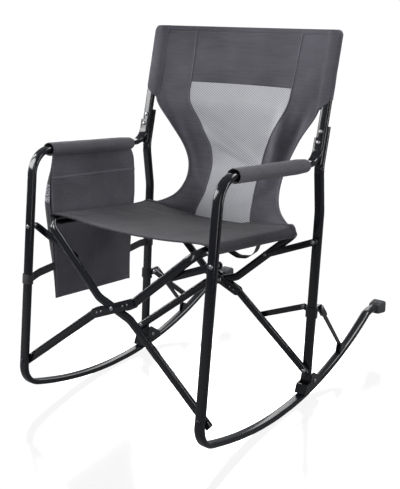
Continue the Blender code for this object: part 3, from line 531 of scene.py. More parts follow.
def rivet(name, body, origin, axis, start, end, node, finish=None):
    """Rivet with a domed head at each end; start and end are the faces that the heads clamp."""
    low, high = start - GAP / 2, end + GAP / 2
    profile = dome(low, -1)[::-1] + [(low, PIN_RADIUS), (high, PIN_RADIUS)] + dome(high, 1)
    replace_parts(turned(name, body, profile, origin, axis.normalized(), finish), node)


def small_stud(name, body, origin, axis, radius, height):
    """Head of a small rivet on a face at origin, looking along axis."""
    profile = [(-0.0005, radius)] + dome(0.0, 1, radius, height)
    turned(name, body, profile, origin, axis.normalized(), segments=14)


# --- where things are ---


def within(value):
    return min(1.0, max(0.0, value))


def eased(value):
    """Runs smoothly from 0 to 1 as the value does."""
    value = within(value)
    return value * value * (3 - 2 * value)


def ripple(x, y, z):
    return noise.noise(Vector((x, y, z)))


def leg_offset_slope(lean):
    leg = Vector((0.0, lean, 1.0))
    return leg.dot(PIVOT_AXIS) / leg.dot(PIVOT_UP)


def front_point(x, s, offset=0.0):
    along = leg_offset_slope(FRONT_LEAN) * s + offset
    return FRONT_PIN + ACROSS * x + PIVOT_UP * s + PIVOT_AXIS * along


def rear_point(x, s, offset=0.0):
    along = leg_offset_slope(REAR_LEAN) * s - offset
    return REAR_PIN + ACROSS * x + PIVOT_UP * s + PIVOT_AXIS * along


def post_y(z):
    return POST_BOTTOM[0] + POST_LEAN * (z - POST_BOTTOM[1])


def rear_leg_y(z):
    low, high = LEG_KINKS_Z
    y_low = REAR_PIN.y + REAR_LEAN * (low - REAR_PIN.z)
    y_high = post_y(high) + (FRAME_THICK + 2 * GAP) * math.hypot(1.0, POST_LEAN)
    if z <= low:
        return REAR_PIN.y + REAR_LEAN * (z - REAR_PIN.z)
    if z <= high:
        return y_low + (y_high - y_low) * (z - low) / (high - low)
    return y_high + POST_LEAN * (z - high)


def rocker_z(y, above=0.0):
    radius = ROCKER_RADIUS - above
    return ROCKER_RADIUS - math.sqrt(radius**2 - (y - ROCKER_LOW_Y) ** 2)


def upper_bar_s(x):
    low_s = HUB_S + HUB_SLOPE * HUB_HALF
    return low_s + (x - HUB_HALF) * (RAIL_S - low_s) / (RAIL_X - HUB_HALF)


def lower_bar_s(x):
    high_s = HUB_S - HUB_SLOPE * HUB_HALF
    return high_s * (HALF_SPAN - x) / (HALF_SPAN - HUB_HALF)


def arm_z(y):
    return ARM_FRONT_CORNER[1] + ARM_SLOPE * (y - ARM_FRONT_CORNER[0])


# --- side frames ---


def crossing(start, way, other_start, other_way):
    gap = other_start - start
    along = gap.x * other_way.y - gap.y * other_way.x
    return start + way * along / (way.x * other_way.y - way.y * other_way.x)


def side_frame_path():
    """Arm's rear tip, arm, front leg and rocker, in one line."""
    corner = Vector(ARM_FRONT_CORNER)
    leg_way = Vector((-FRONT_LEAN, -1.0)).normalized()
    post_way = Vector((POST_LEAN, 1.0)).normalized()
    out = FRAME_THICK / 2 + TIP_THICK / 2 + GAP
    tip = Vector((post_y(TIP_Z), TIP_Z)) + Vector((-post_way.y, post_way.x)) * out
    curl = crossing(corner, Vector((1.0, ARM_SLOPE)).normalized(), tip, post_way)
    turn = Vector((ROCKER_TURN_Y, rocker_z(ROCKER_TURN_Y, FRAME_THICK / 2)))
    rocker_way = Vector((ROCKER_RADIUS - turn.y, turn.x - ROCKER_LOW_Y)).normalized()
    foot = crossing(corner, leg_way, turn, rocker_way)
    foot_radius = (turn - foot).length * math.tan((-leg_way).angle(rocker_way) / 2)
    corners = [Vector((0.0, *point)) for point in (tip, curl, corner, foot, turn)]
    path = rounded_path(corners, [TIP_BEND, ARM_BEND, foot_radius * 0.999])
    stops = (ROCKER_TURN_Y, ROCKER_LOW_Y - LEVEL_HALF, ROCKER_LOW_Y + LEVEL_HALF, ROCKER_END_Y)
    for start, end, count in zip(stops, stops[1:], (24, 1, 10)):
        for i in range(1, count + 1):
            y = start + (end - start) * i / count
            path.append(Vector((0.0, y, rocker_z(y, FRAME_THICK / 2))))
    return path


def even_path(path):
    """The same line with points no further apart than LONGEST_STEP."""
    made = [path[0]]
    for before, point in zip(path, path[1:]):
        count = max(1, math.ceil((point - before).length / LONGEST_STEP))
        made.extend(before.lerp(point, i / count) for i in range(1, count + 1))
    return made


def tip_sizes(path):
    """The arm's rear tip is pressed flat where it lies on the post."""
    sizes = []
    travelled = 0.0
    for before, point in zip([path[0]] + path, path):
        travelled += (point - before).length
        share = eased((travelled - TIP_LENGTH) / TIP_TAPER)
        flat = TIP_THICK / FRAME_THICK
        sizes.append((1.04 - 0.04 * share, flat + (1.0 - flat) * share))
    return sizes


def make_side_frame(side, x):
    body = f"{side}_side"
    outline = flat_oval(FRAME_WIDE, FRAME_THICK)
    path = [point + ACROSS * x for point in even_path(side_frame_path())]
    tube(f"{side}_frame_loop", body, path, outline, f"{side}_side_tube", sizes=tip_sizes(path))
    corners = [(x, rear_leg_y(z), z) for z in (LEG_FOOT_Z, *LEG_KINKS_Z, LEG_TOP_Z)]
    tube(f"{side}_leg_tube", body, rounded_path(corners, [LEG_BEND, LEG_BEND]), outline, f"{side}_rear_leg")
    post_path = [Vector((x, post_y(z), z)) for z in (POST_BOTTOM[1], POST_TOP_Z - POST_HIDDEN)]
    tube(f"{side}_post_tube", body, post_path, outline, f"{side}_back_post")

    backward = Vector((0.0, 1.0, -POST_LEAN)).normalized()
    near = FRAME_THICK / 2 + GAP
    far = 1.5 * FRAME_THICK + 3 * GAP
    for name, z, low in (("arm", ARM_RIVET_Z, -near - TIP_THICK - GAP), ("post", POST_RIVET_Z, -near)):
        on_post = Vector((x, post_y(z), z))
        rivet(f"{side}_{name}_stud", body, on_post, backward, low, far, f"{side}_{name}_rivet")

    bar_side = BAR_OFFSET + BAR_THICK / 2
    front_pin, rear_pin = front_point(x, 0.0), rear_point(x, 0.0)
    rivet(f"{side}_front_stud", body, front_pin, PIVOT_AXIS, -near, bar_side, f"{side}_front_pin", FRAME_PAINT)
    rivet(f"{side}_rear_stud", body, rear_pin, PIVOT_AXIS, -bar_side, near, f"{side}_rear_pin")
    for end, place, way in (("front", front_point, 1), ("rear", rear_point, -1)):
        make_brace(side, end, x, place, way)


def make_brace(side, end, x, place, way):
    """Shouldered rivet on the leg, and the flat brace that it holds."""
    near, brace_near = FRAME_THICK / 2 + GAP, BRACE_OFFSET - BRACE_THICK / 2 - GAP
    far = BRACE_OFFSET + BRACE_THICK / 2 + GAP
    bevel, shoulder = 0.001, HEAD_RADIUS * 1.04
    profile = dome(-near, -1)[::-1] + [(-near, PIN_RADIUS), (near, PIN_RADIUS)]
    profile += [(near, HEAD_RADIUS), (near + bevel, shoulder), (brace_near - bevel, shoulder)]
    profile += [(brace_near, HEAD_RADIUS), (brace_near, PIN_RADIUS), (far, PIN_RADIUS)] + dome(far, 1)
    on_leg = place(x, BRACE_LEG_S)
    stud = turned(f"{side}_{end}_brace_stud", f"{side}_side", profile, on_leg, PIVOT_AXIS * way)
    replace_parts(stud, f"{side}_{end}_brace_rivet")
    start = on_leg + PIVOT_AXIS * BRACE_OFFSET * way
    rise = upper_bar_s(BRACE_X) - BRACE_LEG_S
    on_bar = start + ACROSS * math.copysign(1.0, x) * (BRACE_X - HALF_SPAN) + PIVOT_UP * rise
    body = f"{side}_{end}_stay"
    brace = bar_link(f"{side}_{end}_brace_bar", body, (start, on_bar), BRACE_WIDE, BRACE_THICK, PIVOT_AXIS)
    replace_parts(brace, f"{side}_{end}_brace")
    face = on_bar + PIVOT_AXIS * way * BRACE_THICK / 2
    small_stud(f"{side}_{end}_brace_end_stud", body, face, PIVOT_AXIS * way, 0.0050, 0.0022)


# --- folding tail of the rocker ---


# Outline of the lug at the tail's hinge, y and z
LUG_FRONT = [(0.0445, 0.042), (0.0445, 0.050), (0.0500, 0.054), (0.0560, 0.053)]
LUG_REAR = [(0.0840, 0.036), (0.0840, 0.024), (0.0620, 0.020), (0.0555, 0.030)]
LUG_THICK, TAIL_STEPS = 0.012, 36


def make_tail(side, x):
    body = f"{side}_tail"
    path = []
    for i in range(TAIL_STEPS + 1):
        y = TAIL_START_Y + (TAIL_BEND_Y - TAIL_START_Y) * i / TAIL_STEPS
        path.append(Vector((x, y, rocker_z(y, FRAME_THICK / 2))))
    rise = path[-1].z
    path += [Vector((x, TAIL_BEND_Y + step, rise + up)) for step, up in ((0.012, 0.0024), (0.028, 0.0040))]
    path.append(Vector((x, TAIL_END_Y, rise + 0.005)))
    tube(f"{side}_tail_tube", body, path, flat_oval(FRAME_WIDE, FRAME_THICK), f"{side}_rocker_tail")
    data = bmesh.new()
    upright = Matrix.Translation((x, 0, 0)) @ Matrix(((0, 0, 1, 0), (1, 0, 0, 0), (0, 1, 0, 0), (0, 0, 0, 1)))
    slab(data, LUG_FRONT + LUG_REAR, LUG_THICK, upright)
    soften_edges(data, 0.0012)
    piece(f"{side}_tail_lug", body, data, FRAME_PAINT)
    make_cap(side, x, body)


def make_cap(side, x, body):
    """Moulded rubber block over the tail's end, with a raised pull tab."""
    data = bmesh.new()
    centre = Vector((x, *CAP_CENTRE))
    scale = Matrix.Diagonal((*(size * fit for size, fit in zip(CAP_SIZE, CAP_FIT)), 1.0))
    bmesh.ops.create_cube(data, size=1.0, matrix=Matrix.Translation(centre) @ scale)
    for vert in data.verts:
        if vert.co.y < centre.y:
            vert.co.x = x + (vert.co.x - x) * CAP_NOSE_WIDE
            vert.co.z = centre.z + CAP_NOSE_RISE + (vert.co.z - centre.z) * CAP_NOSE_HIGH
    soften_edges(data, 0.0100, 5)
    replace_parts(piece(f"{side}_cap_block", body, data, RUBBER, RUBBER_SHARP), f"{side}_tail_cap")
    data = bmesh.new()
    tab = Matrix.Translation(centre + Vector((0.0, -0.014, 0.0190))) @ Matrix.Diagonal((0.016, 0.012, 0.008, 1.0))
    bmesh.ops.create_cube(data, size=1.0, matrix=tab)
    soften_edges(data, 0.0025, 3)
    piece(f"{side}_cap_tab", body, data, RUBBER, RUBBER_SHARP)


# --- scissor ---


def sweep_bar(name, body, corners, radii, node):
    """Scissor tube: its wide face stays in the plane of the bars, and keeps its turn along the rail."""
    path = rounded_path(corners, radii)
    wides = []
    for along in tangents(path):
        across = PIVOT_AXIS.cross(along)
        if across.length < 0.3:
            across = wides[-1]
        elif wides and across.dot(wides[-1]) < -0.8 * across.length:
            across = -across
        wides.append(across.normalized())
    tube(name, body, path, soft_oval(BAR_WIDE, BAR_THICK), node, wides)


def lower_end(sign, beyond):
    way = Vector((HALF_SPAN - HUB_HALF, -lower_bar_s(HUB_HALF))).normalized() * beyond
    return sign * (HALF_SPAN + way.x), way.y


def make_scissor():
    bends = HUB_SLOPE * HUB_HALF
    for side, sign, near, far, end in (
        ("left", -1, rear_point, front_point, "rear"),
        ("right", 1, front_point, rear_point, "front"),
    ):
        body = f"{side}_seat_frame"
        corners = [
            near(sign * SPLIT_X, HUB_S + HUB_SLOPE * SPLIT_X, BAR_OFFSET),
            near(sign * HUB_HALF, HUB_S + bends, BAR_OFFSET),
            near(sign * RAIL_X, RAIL_S, BAR_OFFSET),
            far(sign * RAIL_X, RAIL_S, BAR_OFFSET),
            far(sign * HUB_HALF, HUB_S + bends, BAR_OFFSET),
            far(-sign * HUB_HALF, HUB_S - bends, BAR_OFFSET),
            far(*lower_end(-sign, LONG_END), BAR_OFFSET),
        ]
        radii = [BAR_BEND, RAIL_BEND, RAIL_BEND, BAR_BEND, BAR_BEND]
        sweep_bar(f"{side}_rail_tube", body, corners, radii, f"{side}_seat_tube")
        corners = [
            near(-sign * SPLIT_X, HUB_S - HUB_SLOPE * SPLIT_X, BAR_OFFSET),
            near(-sign * HUB_HALF, HUB_S - bends, BAR_OFFSET),
            near(*lower_end(-sign, SHORT_END), BAR_OFFSET),
        ]
        sweep_bar(f"{end}_half_bar", body, corners, [BAR_BEND], f"{end}_lower_bar")
        make_hub(end, sign, near, body)


def make_hub(end, sign, place, body):
    """Two plates that join the split bar's halves, their centre pivot and their small rivets."""
    hub = place(0.0, HUB_S, BAR_OFFSET)
    plate_end = place(sign * HUB_PLATE_HALF, upper_bar_s(HUB_PLATE_HALF), BAR_OFFSET)
    way = (plate_end - hub).normalized() * HUB_PLATE_HALF
    normal = (PIVOT_AXIS - way * PIVOT_AXIS.dot(way) / way.length_squared).normalized()
    reach = BAR_THICK / 2 + HUB_GAP + HUB_PLATE_THICK / 2
    for face, out in (("front", -1), ("back", 1)):
        centre = hub + normal * reach * out
        name = f"{end}_hub_{face}"
        plate = bar_link(f"{name}_strap", body, (centre - way, centre + way), 0.027, HUB_PLATE_THICK, normal)
        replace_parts(plate, f"{name}_plate")
        surface = centre + normal * out * HUB_PLATE_THICK / 2
        for index, share in enumerate((-0.86, -0.62, 0.62, 0.86)):
            small_stud(f"{name}_stud_{index}", body, surface + way * share, normal * out, 0.0029, 0.0014)
    out = BAR_THICK / 2 + HUB_PLATE_THICK + HUB_GAP + 2 * GAP
    rivet(f"{end}_hub_stud", body, hub, PIVOT_AXIS, -out, out, f"{end}_hub_pivot")


# --- cloth ---


def smooth_rows(rows, steps):
    """Rows between the given ones, on a smooth curve through them."""
    made = []
    for i in range(len(rows) - 1):
        around = [rows[max(i - 1, 0)], rows[i], rows[i + 1], rows[min(i + 2, len(rows) - 1)]]
        for step in range(steps):
            t = step / steps
            made.append([curve_value(values, t) for values in zip(*around)])
    return made + [list(rows[-1])]


def curve_value(values, t):
    before, start, end, after = values
    ahead, behind = (end - before) / 2, (after - start) / 2
    return (
        (2 * t**3 - 3 * t**2 + 1) * start
        + (t**3 - 2 * t**2 + t) * ahead
        + (3 * t**2 - 2 * t**3) * end
        + (t**3 - t**2) * behind
    )


def grid_normals(grid):
    """Unit normal at each point of a grid of points."""
    normals = []
    last_row, last = len(grid) - 1, len(grid[0]) - 1
    for i, row in enumerate(grid):
        normals.append([])
        for j in range(len(row)):
            down = grid[min(i + 1, last_row)][j] - grid[max(i - 1, 0)][j]
            along = row[min(j + 1, last)] - row[max(j - 1, 0)]
            normals[-1].append(along.cross(down).normalized())
    return normals


def cloth_piece(name, body, grid, finish, thickness=CLOTH, choose=None):
    """Sheet of even thickness through a grid of points; choose(i, j) gives a face's material."""
    data = bmesh.new()
    normals = grid_normals(grid)
    layers = []
    for shift in (-thickness / 2, thickness / 2):
        layer = []
        for row, ups in zip(grid, normals):
            layer.append([data.verts.new(point + up * shift) for point, up in zip(row, ups)])
        layers.append(layer)
        for i in range(len(grid) - 1):
            for j in range(len(grid[0]) - 1):
                corners = (layer[i][j], layer[i][j + 1], layer[i + 1][j + 1], layer[i + 1][j])
                face = data.faces.new(corners)
                face.material_index = choose(i, j) if choose else 0
    rims = [rim_of(layer) for layer in layers]
    for i in range(len(rims[0])):
        data.faces.new((rims[0][i - 1], rims[0][i], rims[1][i], rims[1][i - 1]))
    return piece(name, body, data, finish, CLOTH_SHARP)


def rim_of(grid):
    """Outer points of a grid, in order."""
    rising = [row[-1] for row in grid[1:-1]]
    falling = [row[0] for row in grid[-2:0:-1]]
    return grid[0] + rising + grid[-1][::-1] + falling


def grid_area(grid):
    area = 0.0
    for row, below in zip(grid, grid[1:]):
        for j in range(len(row) - 1):
            area += (row[j + 1] - row[j]).cross(below[j] - row[j]).length / 2
            area += (below[j] - below[j + 1]).cross(row[j + 1] - below[j + 1]).length / 2
    return area


def line_length(points):
    return sum((b - a).length for a, b in zip(points, points[1:]))


def declare_sheet(grid, pieces=()):
    """Measures a sheet's cut along its rows and columns; the sizes are not used."""
    width = max(line_length(row) for row in grid)
    length = max(line_length(column) for column in zip(*grid))
    area = min(grid_area(grid), width * length)
    list(pieces)


def fold_at(x, z, line):
    """Height at (x, z) of a soft fold, given as its two ends, its height and its width."""
    (x0, z0), (x1, z1), height, wide = line
    along = Vector((x1 - x0, z1 - z0))
    off = Vector((x - x0, z - z0))
    share = within(off.dot(along) / along.length_squared)
    away = (off - along * share).length
    return height * math.exp(-((away / wide) ** 2)) * math.sin(math.pi * within(share * 0.9 + 0.05))


BACK_FOLDS = [  # both ends' x and z, height, width
    ((-0.18, 0.83), (0.09, 0.665), 0.0095, 0.020),
    ((-0.14, 0.765), (0.08, 0.640), -0.0085, 0.016),
    ((-0.10, 0.700), (0.10, 0.635), 0.0060, 0.013),
    ((0.180, 0.86), (0.112, 0.60), -0.0160, 0.019),
    ((0.250, 0.85), (0.158, 0.62), 0.0160, 0.020),
    ((0.27, 0.80), (0.20, 0.69), -0.0040, 0.012),
    ((-0.27, 0.87), (-0.17, 0.66), 0.0050, 0.014),
    ((-0.20, 0.78), (-0.12, 0.60), -0.0050, 0.012),
    ((-0.17, 0.62), (-0.05, 0.53), 0.0045, 0.014),
    ((0.17, 0.62), (0.07, 0.53), 0.0045, 0.014),
    ((-0.28, 0.95), (-0.20, 0.90), 0.0030, 0.020),
    ((0.28, 0.97), (0.20, 0.93), 0.0030, 0.020),
    ((-0.18, 0.985), (0.18, 0.975), 0.0030, 0.022),
]
MESH_COLUMNS, SIDE_COLUMNS, HEM_FIRST_ROW = 14, 16, 30
SLEEVE_STITCH_Z, SLEEVE_STITCH_LONG = 0.862, 0.190


def back_columns():
    """Place across the back, from -1 to 1: up to 0.5 for the mesh, and beyond it for the side panels."""
    half = [0.5 * i / MESH_COLUMNS for i in range(MESH_COLUMNS)]
    half += [0.5 + 0.5 * i / SIDE_COLUMNS for i in range(SIDE_COLUMNS + 1)]
    return [-u for u in half[:0:-1]] + half


def back_point(row, u):
    """Point of the back cloth in a row, u across it."""
    edge_z, half, edge_y, mid_z, mid_y, mesh = row
    share = abs(u)
    across = mesh * share * 2 if share < 0.5 else mesh + (half - mesh) * (share * 2 - 1)
    x = math.copysign(across, u)
    bow = 1 - (across / half) ** 2
    y = edge_y + (mid_y - edge_y) * bow
    z = edge_z + (mid_z - edge_z) * bow
    loose = min(1.0, 8 * (1 - across / half)) * within((1.055 - z) / 0.04)
    wrinkle = sum(fold_at(x, z, line) for line in BACK_FOLDS)
    wrinkle += 0.0016 * ripple(x * 9, z * 7, 3.1) + 0.0006 * ripple(x * 31, z * 23, 8.7)
    return Vector((x, y + wrinkle * loose, z))


def make_back():
    rows = smooth_rows(BACK_ROWS, 8)
    columns = back_columns()
    grid = [[back_point(row, u) for u in columns] for row in rows]
    first_mesh = SIDE_COLUMNS
    last_mesh = len(columns) - 1 - first_mesh

    def choose(i, j):
        return 1 if first_mesh <= j < last_mesh and rows[i][3] <= MESH_TOP_ROW + 0.001 else 0

    back = cloth_piece("back_panel", None, grid, [BACK_CLOTH, MESH], choose=choose)
    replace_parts(back, "back_sling")
    trims = [
        column_band("back_left_hem", grid, 0, 0.009, 0.0046, 0.0045, HEM_FIRST_ROW),
        column_band("back_right_hem", grid, -1, 0.009, 0.0046, -0.0045, HEM_FIRST_ROW),
        column_band("mesh_left_border", grid, first_mesh, 0.0060, 0.0044),
        column_band("mesh_right_border", grid, last_mesh, 0.0060, 0.0044),
        top_hem(grid),
        mesh_top_border(grid, rows, first_mesh, last_mesh),
        *(post_sleeve(side, sign) for side, sign in SIDES),
    ]
    trims += back_stitches(grid, first_mesh, last_mesh)
    declare_sheet(grid, trims)
    for made in [back, *trims]:
        if made.name.startswith(("back_right_sleeve", "sleeve_right")):
            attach(made, "right_side")
            continue
        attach(made, "left_side")
        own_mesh(made)


def ribbon(name, points, ways, normals, wide, thick, finish):
    """Flat band along the points: ways is its wide direction and normals its thin one, at each point or at all."""
    outline = flat_oval(wide, thick, 4)
    rings = []
    for point, way, normal in zip(points, at_each(ways, points), at_each(normals, points)):
        rings.append([point + way * u + normal * v for u, v in outline])
    data = loft(rings)
    return piece(name, None, data, finish, CLOTH_SHARP)


def at_each(value, points):
    return [value] * len(points) if isinstance(value, Vector) else value


def column_line(grid, column, shift, first):
    """A column of the cloth's grid, moved sideways by shift, with the directions along and off the cloth."""
    points, ways, ups = [], [], []
    for row, normals in zip(grid[first:], grid_normals(grid)[first:]):
        index = column % len(row)
        across = (row[min(index + 1, len(row) - 1)] - row[max(index - 1, 0)]).normalized()
        points.append(row[index] + across * shift)
        ways.append(across)
        ups.append(normals[index])
    return points, ways, ups


def column_band(name, grid, column, wide, thick, shift=0.0, first=0):
    return ribbon(name, *column_line(grid, column, shift, first), wide, thick, TRIM_CLOTH)


def mesh_top_border(grid, rows, first, last):
    index = min(range(len(rows)), key=lambda i: abs(rows[i][3] - MESH_TOP_ROW))
    points = [grid[index][j] for j in range(first, last + 1)]
    normals = grid_normals(grid)[index][first : last + 1]
    way = Vector((0.0, 0.25, 1.0)).normalized()
    return ribbon("mesh_top_border", points, way, normals, 0.0075, 0.0034, BACK_CLOTH)


def top_hem(grid):
    """Folded hem along the back's top edge."""
    points = [point - POST_WAY * 0.0075 for point in grid[0]]
    return ribbon("back_top_hem", points, POST_WAY, grid_normals(grid)[0], 0.0165, 0.0040, BACK_CLOTH)


def post_sleeve(side, sign):
    """Cloth loop round the back post, closed over its top and cut on a slant at its foot."""
    rings = []
    half_x, half_y = FRAME_WIDE / 2 + 0.0014, (FRAME_THICK / 2 + 0.0013) * math.hypot(1.0, POST_LEAN)
    count = 26
    for k in range(count + 1):
        share = 1.0 - (1.0 - k / count) ** 1.6
        ring = []
        for out, inset in sleeve_outline(half_x, half_y):
            near_top = max(0.0, 1.0 - (1.0 - share) * (SLEEVE_ROWS_Z[1] - SLEEVE_ROWS_Z[0]) / 0.018)
            x = HALF_SPAN + out - 0.018 * (1.0 - math.sqrt(1.0 - near_top**2)) * max(0.0, out) / half_x
            foot = SLEEVE_ROWS_Z[0] - 0.75 * max(0.0, HALF_SPAN + 0.008 - x) - 0.006 * (x < HALF_SPAN + 0.008)
            z = foot + (SLEEVE_ROWS_Z[1] - foot) * share
            soft = 0.0007 * ripple(x * 40 * sign, inset * 60, z * 28)
            ring.append((sign * (x + soft), post_y(z) + inset + soft, z))
        rings.append(ring)
    return piece(f"back_{side}_sleeve", None, loft(rings, [-1]), BACK_CLOTH, CLOTH_SHARP)


def sleeve_outline(half_x, half_y):
    """Loop round a post, from the seam on its inner side: (outward from the post, backward)."""
    straight = half_x - half_y
    points = [(-0.038, 0.0068), (-0.030, 0.0020), (-0.022, -0.0040), (-0.014, -half_y * 0.92)]
    for step in range(11):
        angle = -math.pi / 2 + math.pi * step / 10
        points.append((straight + half_y * math.cos(angle), half_y * math.sin(angle)))
    points += [(-0.004, half_y), (-0.014, half_y * 0.98), (-0.026, 0.0100), (-0.038, 0.0092)]
    return points


def stitch_line(name, points, ups, body=None):
    """Row of stitches along the points, on the side that ups looks to."""
    data = bmesh.new()
    half = STITCH_LENGTH / 2
    outline = [(-half, 0.0), (0.0, -0.0005), (half, 0.0), (0.0, 0.0005)]
    travelled, target = 0.0, STITCH_PITCH / 2
    for a, b, up in zip(points, points[1:], at_each(ups, points)):
        step = (b - a).length
        while travelled + step > target:
            centre = a.lerp(b, (target - travelled) / step) + up * 0.0003
            slab(data, outline, 0.0007, box_frame(centre, b - a, up))
            target += STITCH_PITCH
        travelled += step
    return piece(name, body, data, THREAD, CLOTH_SHARP)


def back_stitches(grid, first_mesh, last_mesh):
    """Stitch lines beside the mesh, along the hems and down each post's sleeve."""
    made = []
    normals = grid_normals(grid)
    front = -1 if normals[40][first_mesh].y > 0 else 1
    for name, column, shift, first in (
        ("mesh_left", first_mesh, -0.0055, 0),
        ("mesh_right", last_mesh, 0.0055, 0),
        ("edge_left", 0, 0.0115, HEM_FIRST_ROW),
        ("edge_right", -1, -0.0115, HEM_FIRST_ROW),
    ):
        points, _, ups = column_line(grid, column, shift, first)
        ups = [up * front for up in ups]
        made.append(stitch_line(f"{name}_stitches", lifted(points, ups, CLOTH / 2), ups))
    ups = [up * front for up in normals[0]]
    points = lifted([point - POST_WAY * 0.0170 for point in grid[0]], ups, CLOTH / 2)
    made.append(stitch_line("top_hem_stitches", points, ups))
    for side, sign in SIDES:
        heights = [SLEEVE_STITCH_Z + SLEEVE_STITCH_LONG * k / 39 for k in range(40)]
        line = [Vector((sign * (HALF_SPAN - 0.031), post_y(z) + 0.0008, z)) for z in heights]
        up = Vector((sign * 0.25, -1.0, 0.25)).normalized()
        made.append(stitch_line(f"sleeve_{side}_stitches", line, up))
    return made


def lifted(points, ups, height):
    return [point + up * height for point, up in zip(points, ups)]


SEAT_ROWS, SEAT_COLUMNS = 44, 44
SEAT_FRONT_REACH, SEAT_REAR_REACH = 0.026, 0.030


def seat_line():
    """Seat's section between the rails, with a loop round each: (x, height above the rails' centres)."""
    loop = []
    for step in range(17):
        angle = math.radians(-50 - 250 * step / 16)
        loop.append((-RAIL_X + RAIL_LOOP * math.cos(angle), RAIL_LOOP * math.sin(angle)))
    middle = []
    for i in range(1, SEAT_COLUMNS):
        x = -RAIL_X + 2 * RAIL_X * i / SEAT_COLUMNS
        middle.append((x, RAIL_LOOP - SEAT_SAG * (1 - (x / RAIL_X) ** 2)))
    return loop + middle + [(-x, s) for x, s in loop[::-1]]


def seat_point(x, s, t):
    """Point of the seat: (x, s) is a point of its section, and t runs from the front edge to the rear one."""
    inner = eased((RAIL_X - abs(x)) / 0.05) if s > 0 else 0.0
    corner = max(0.0, 1.0 - (RAIL_X - abs(x)) / 0.09) ** 2 * within(s / RAIL_LOOP)
    front = front_point(x, RAIL_S, BAR_OFFSET + SEAT_FRONT_TRIM - SEAT_FRONT_REACH * min(1.0, corner)) + PIVOT_UP * s
    rear = rear_point(x, RAIL_S, BAR_OFFSET + SEAT_REAR_TRIM - SEAT_REAR_REACH * inner) + PIVOT_UP * s
    point = front.lerp(rear, t)
    bow = inner * (1 - (x / RAIL_X) ** 2)
    streak = ripple(x * 3.0, point.y * 34.0, 1.7) + 0.5 * ripple(x * 9, point.y * 60, 5)
    raised = max(0.0, (t - 0.72) / 0.28) ** 2 * max(0.0, s / RAIL_LOOP)
    lift = 0.009 * raised * math.exp(-(((abs(x) - 0.245) / 0.05) ** 2))
    lift += 0.0013 * streak * inner + 0.0040 * bow * t**4 - 0.0035 * bow * math.sin(math.pi * t)
    return point + PIVOT_UP * lift


def make_seat():
    line = seat_line()
    grid = [[seat_point(x, s, i / SEAT_ROWS) for x, s in line] for i in range(SEAT_ROWS + 1)]
    seat = cloth_piece("seat_cloth", None, grid, SHADED_SEAT_CLOTH, HEAVY_CLOTH)
    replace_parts(seat, "seat_sling")
    normals = grid_normals(grid)
    top = 1 if normals[0][len(line) // 2].z > 0 else -1
    trims = []
    for name, row in (("front", 1), ("rear", SEAT_ROWS - 1)):
        trims.append(ribbon(f"seat_{name}_hem", grid[row], PIVOT_AXIS, normals[row], 0.020, 0.0042, SHADED_SEAT_CLOTH))
    for name, row in (("front", 3), ("rear", SEAT_ROWS - 3)):
        ups = [up * top for up in normals[row]]
        points = lifted(grid[row], ups, 0.0010)
        trims.append(stitch_line(f"seat_{name}_stitches", points[12:-12], ups[12:-12]))
    for side, column in (("left", 19), ("right", len(line) - 20)):
        points = [row[column] + normals[i][column] * top * 0.0010 for i, row in enumerate(grid)]
        trims.append(stitch_line(f"seat_{side}_stitches", points, normals[5][column] * top))
    declare_sheet(grid, trims)
    for made in [seat, *trims]:
        blend_seat(made)


def blend_seat(made):
    """The seat hangs from both rails; here its placement is only baked into its mesh, and it rides on no body."""
    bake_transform(made)


def make_pull_strap():
    """Loop of webbing below the seat."""
    corners = [(0.092, 0.478), (0.118, 0.452), (0.150, 0.440), (0.182, 0.444), (0.206, 0.462), (0.216, 0.486)]
    path = rounded_path([(x, -0.100, z) for x, z in corners], [0.03] * 4)
    across = Vector((0.0, 1.0, 0.10)).normalized()
    ups = [along.cross(across).normalized() for along in tangents(path)]
    strap = ribbon("seat_pull_strap", path, across, ups, 0.025, STRAP_THICK, WEBBING)
    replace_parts(strap, "pull_strap")
    blend_seat(strap)


# --- arm sleeves and pocket ---


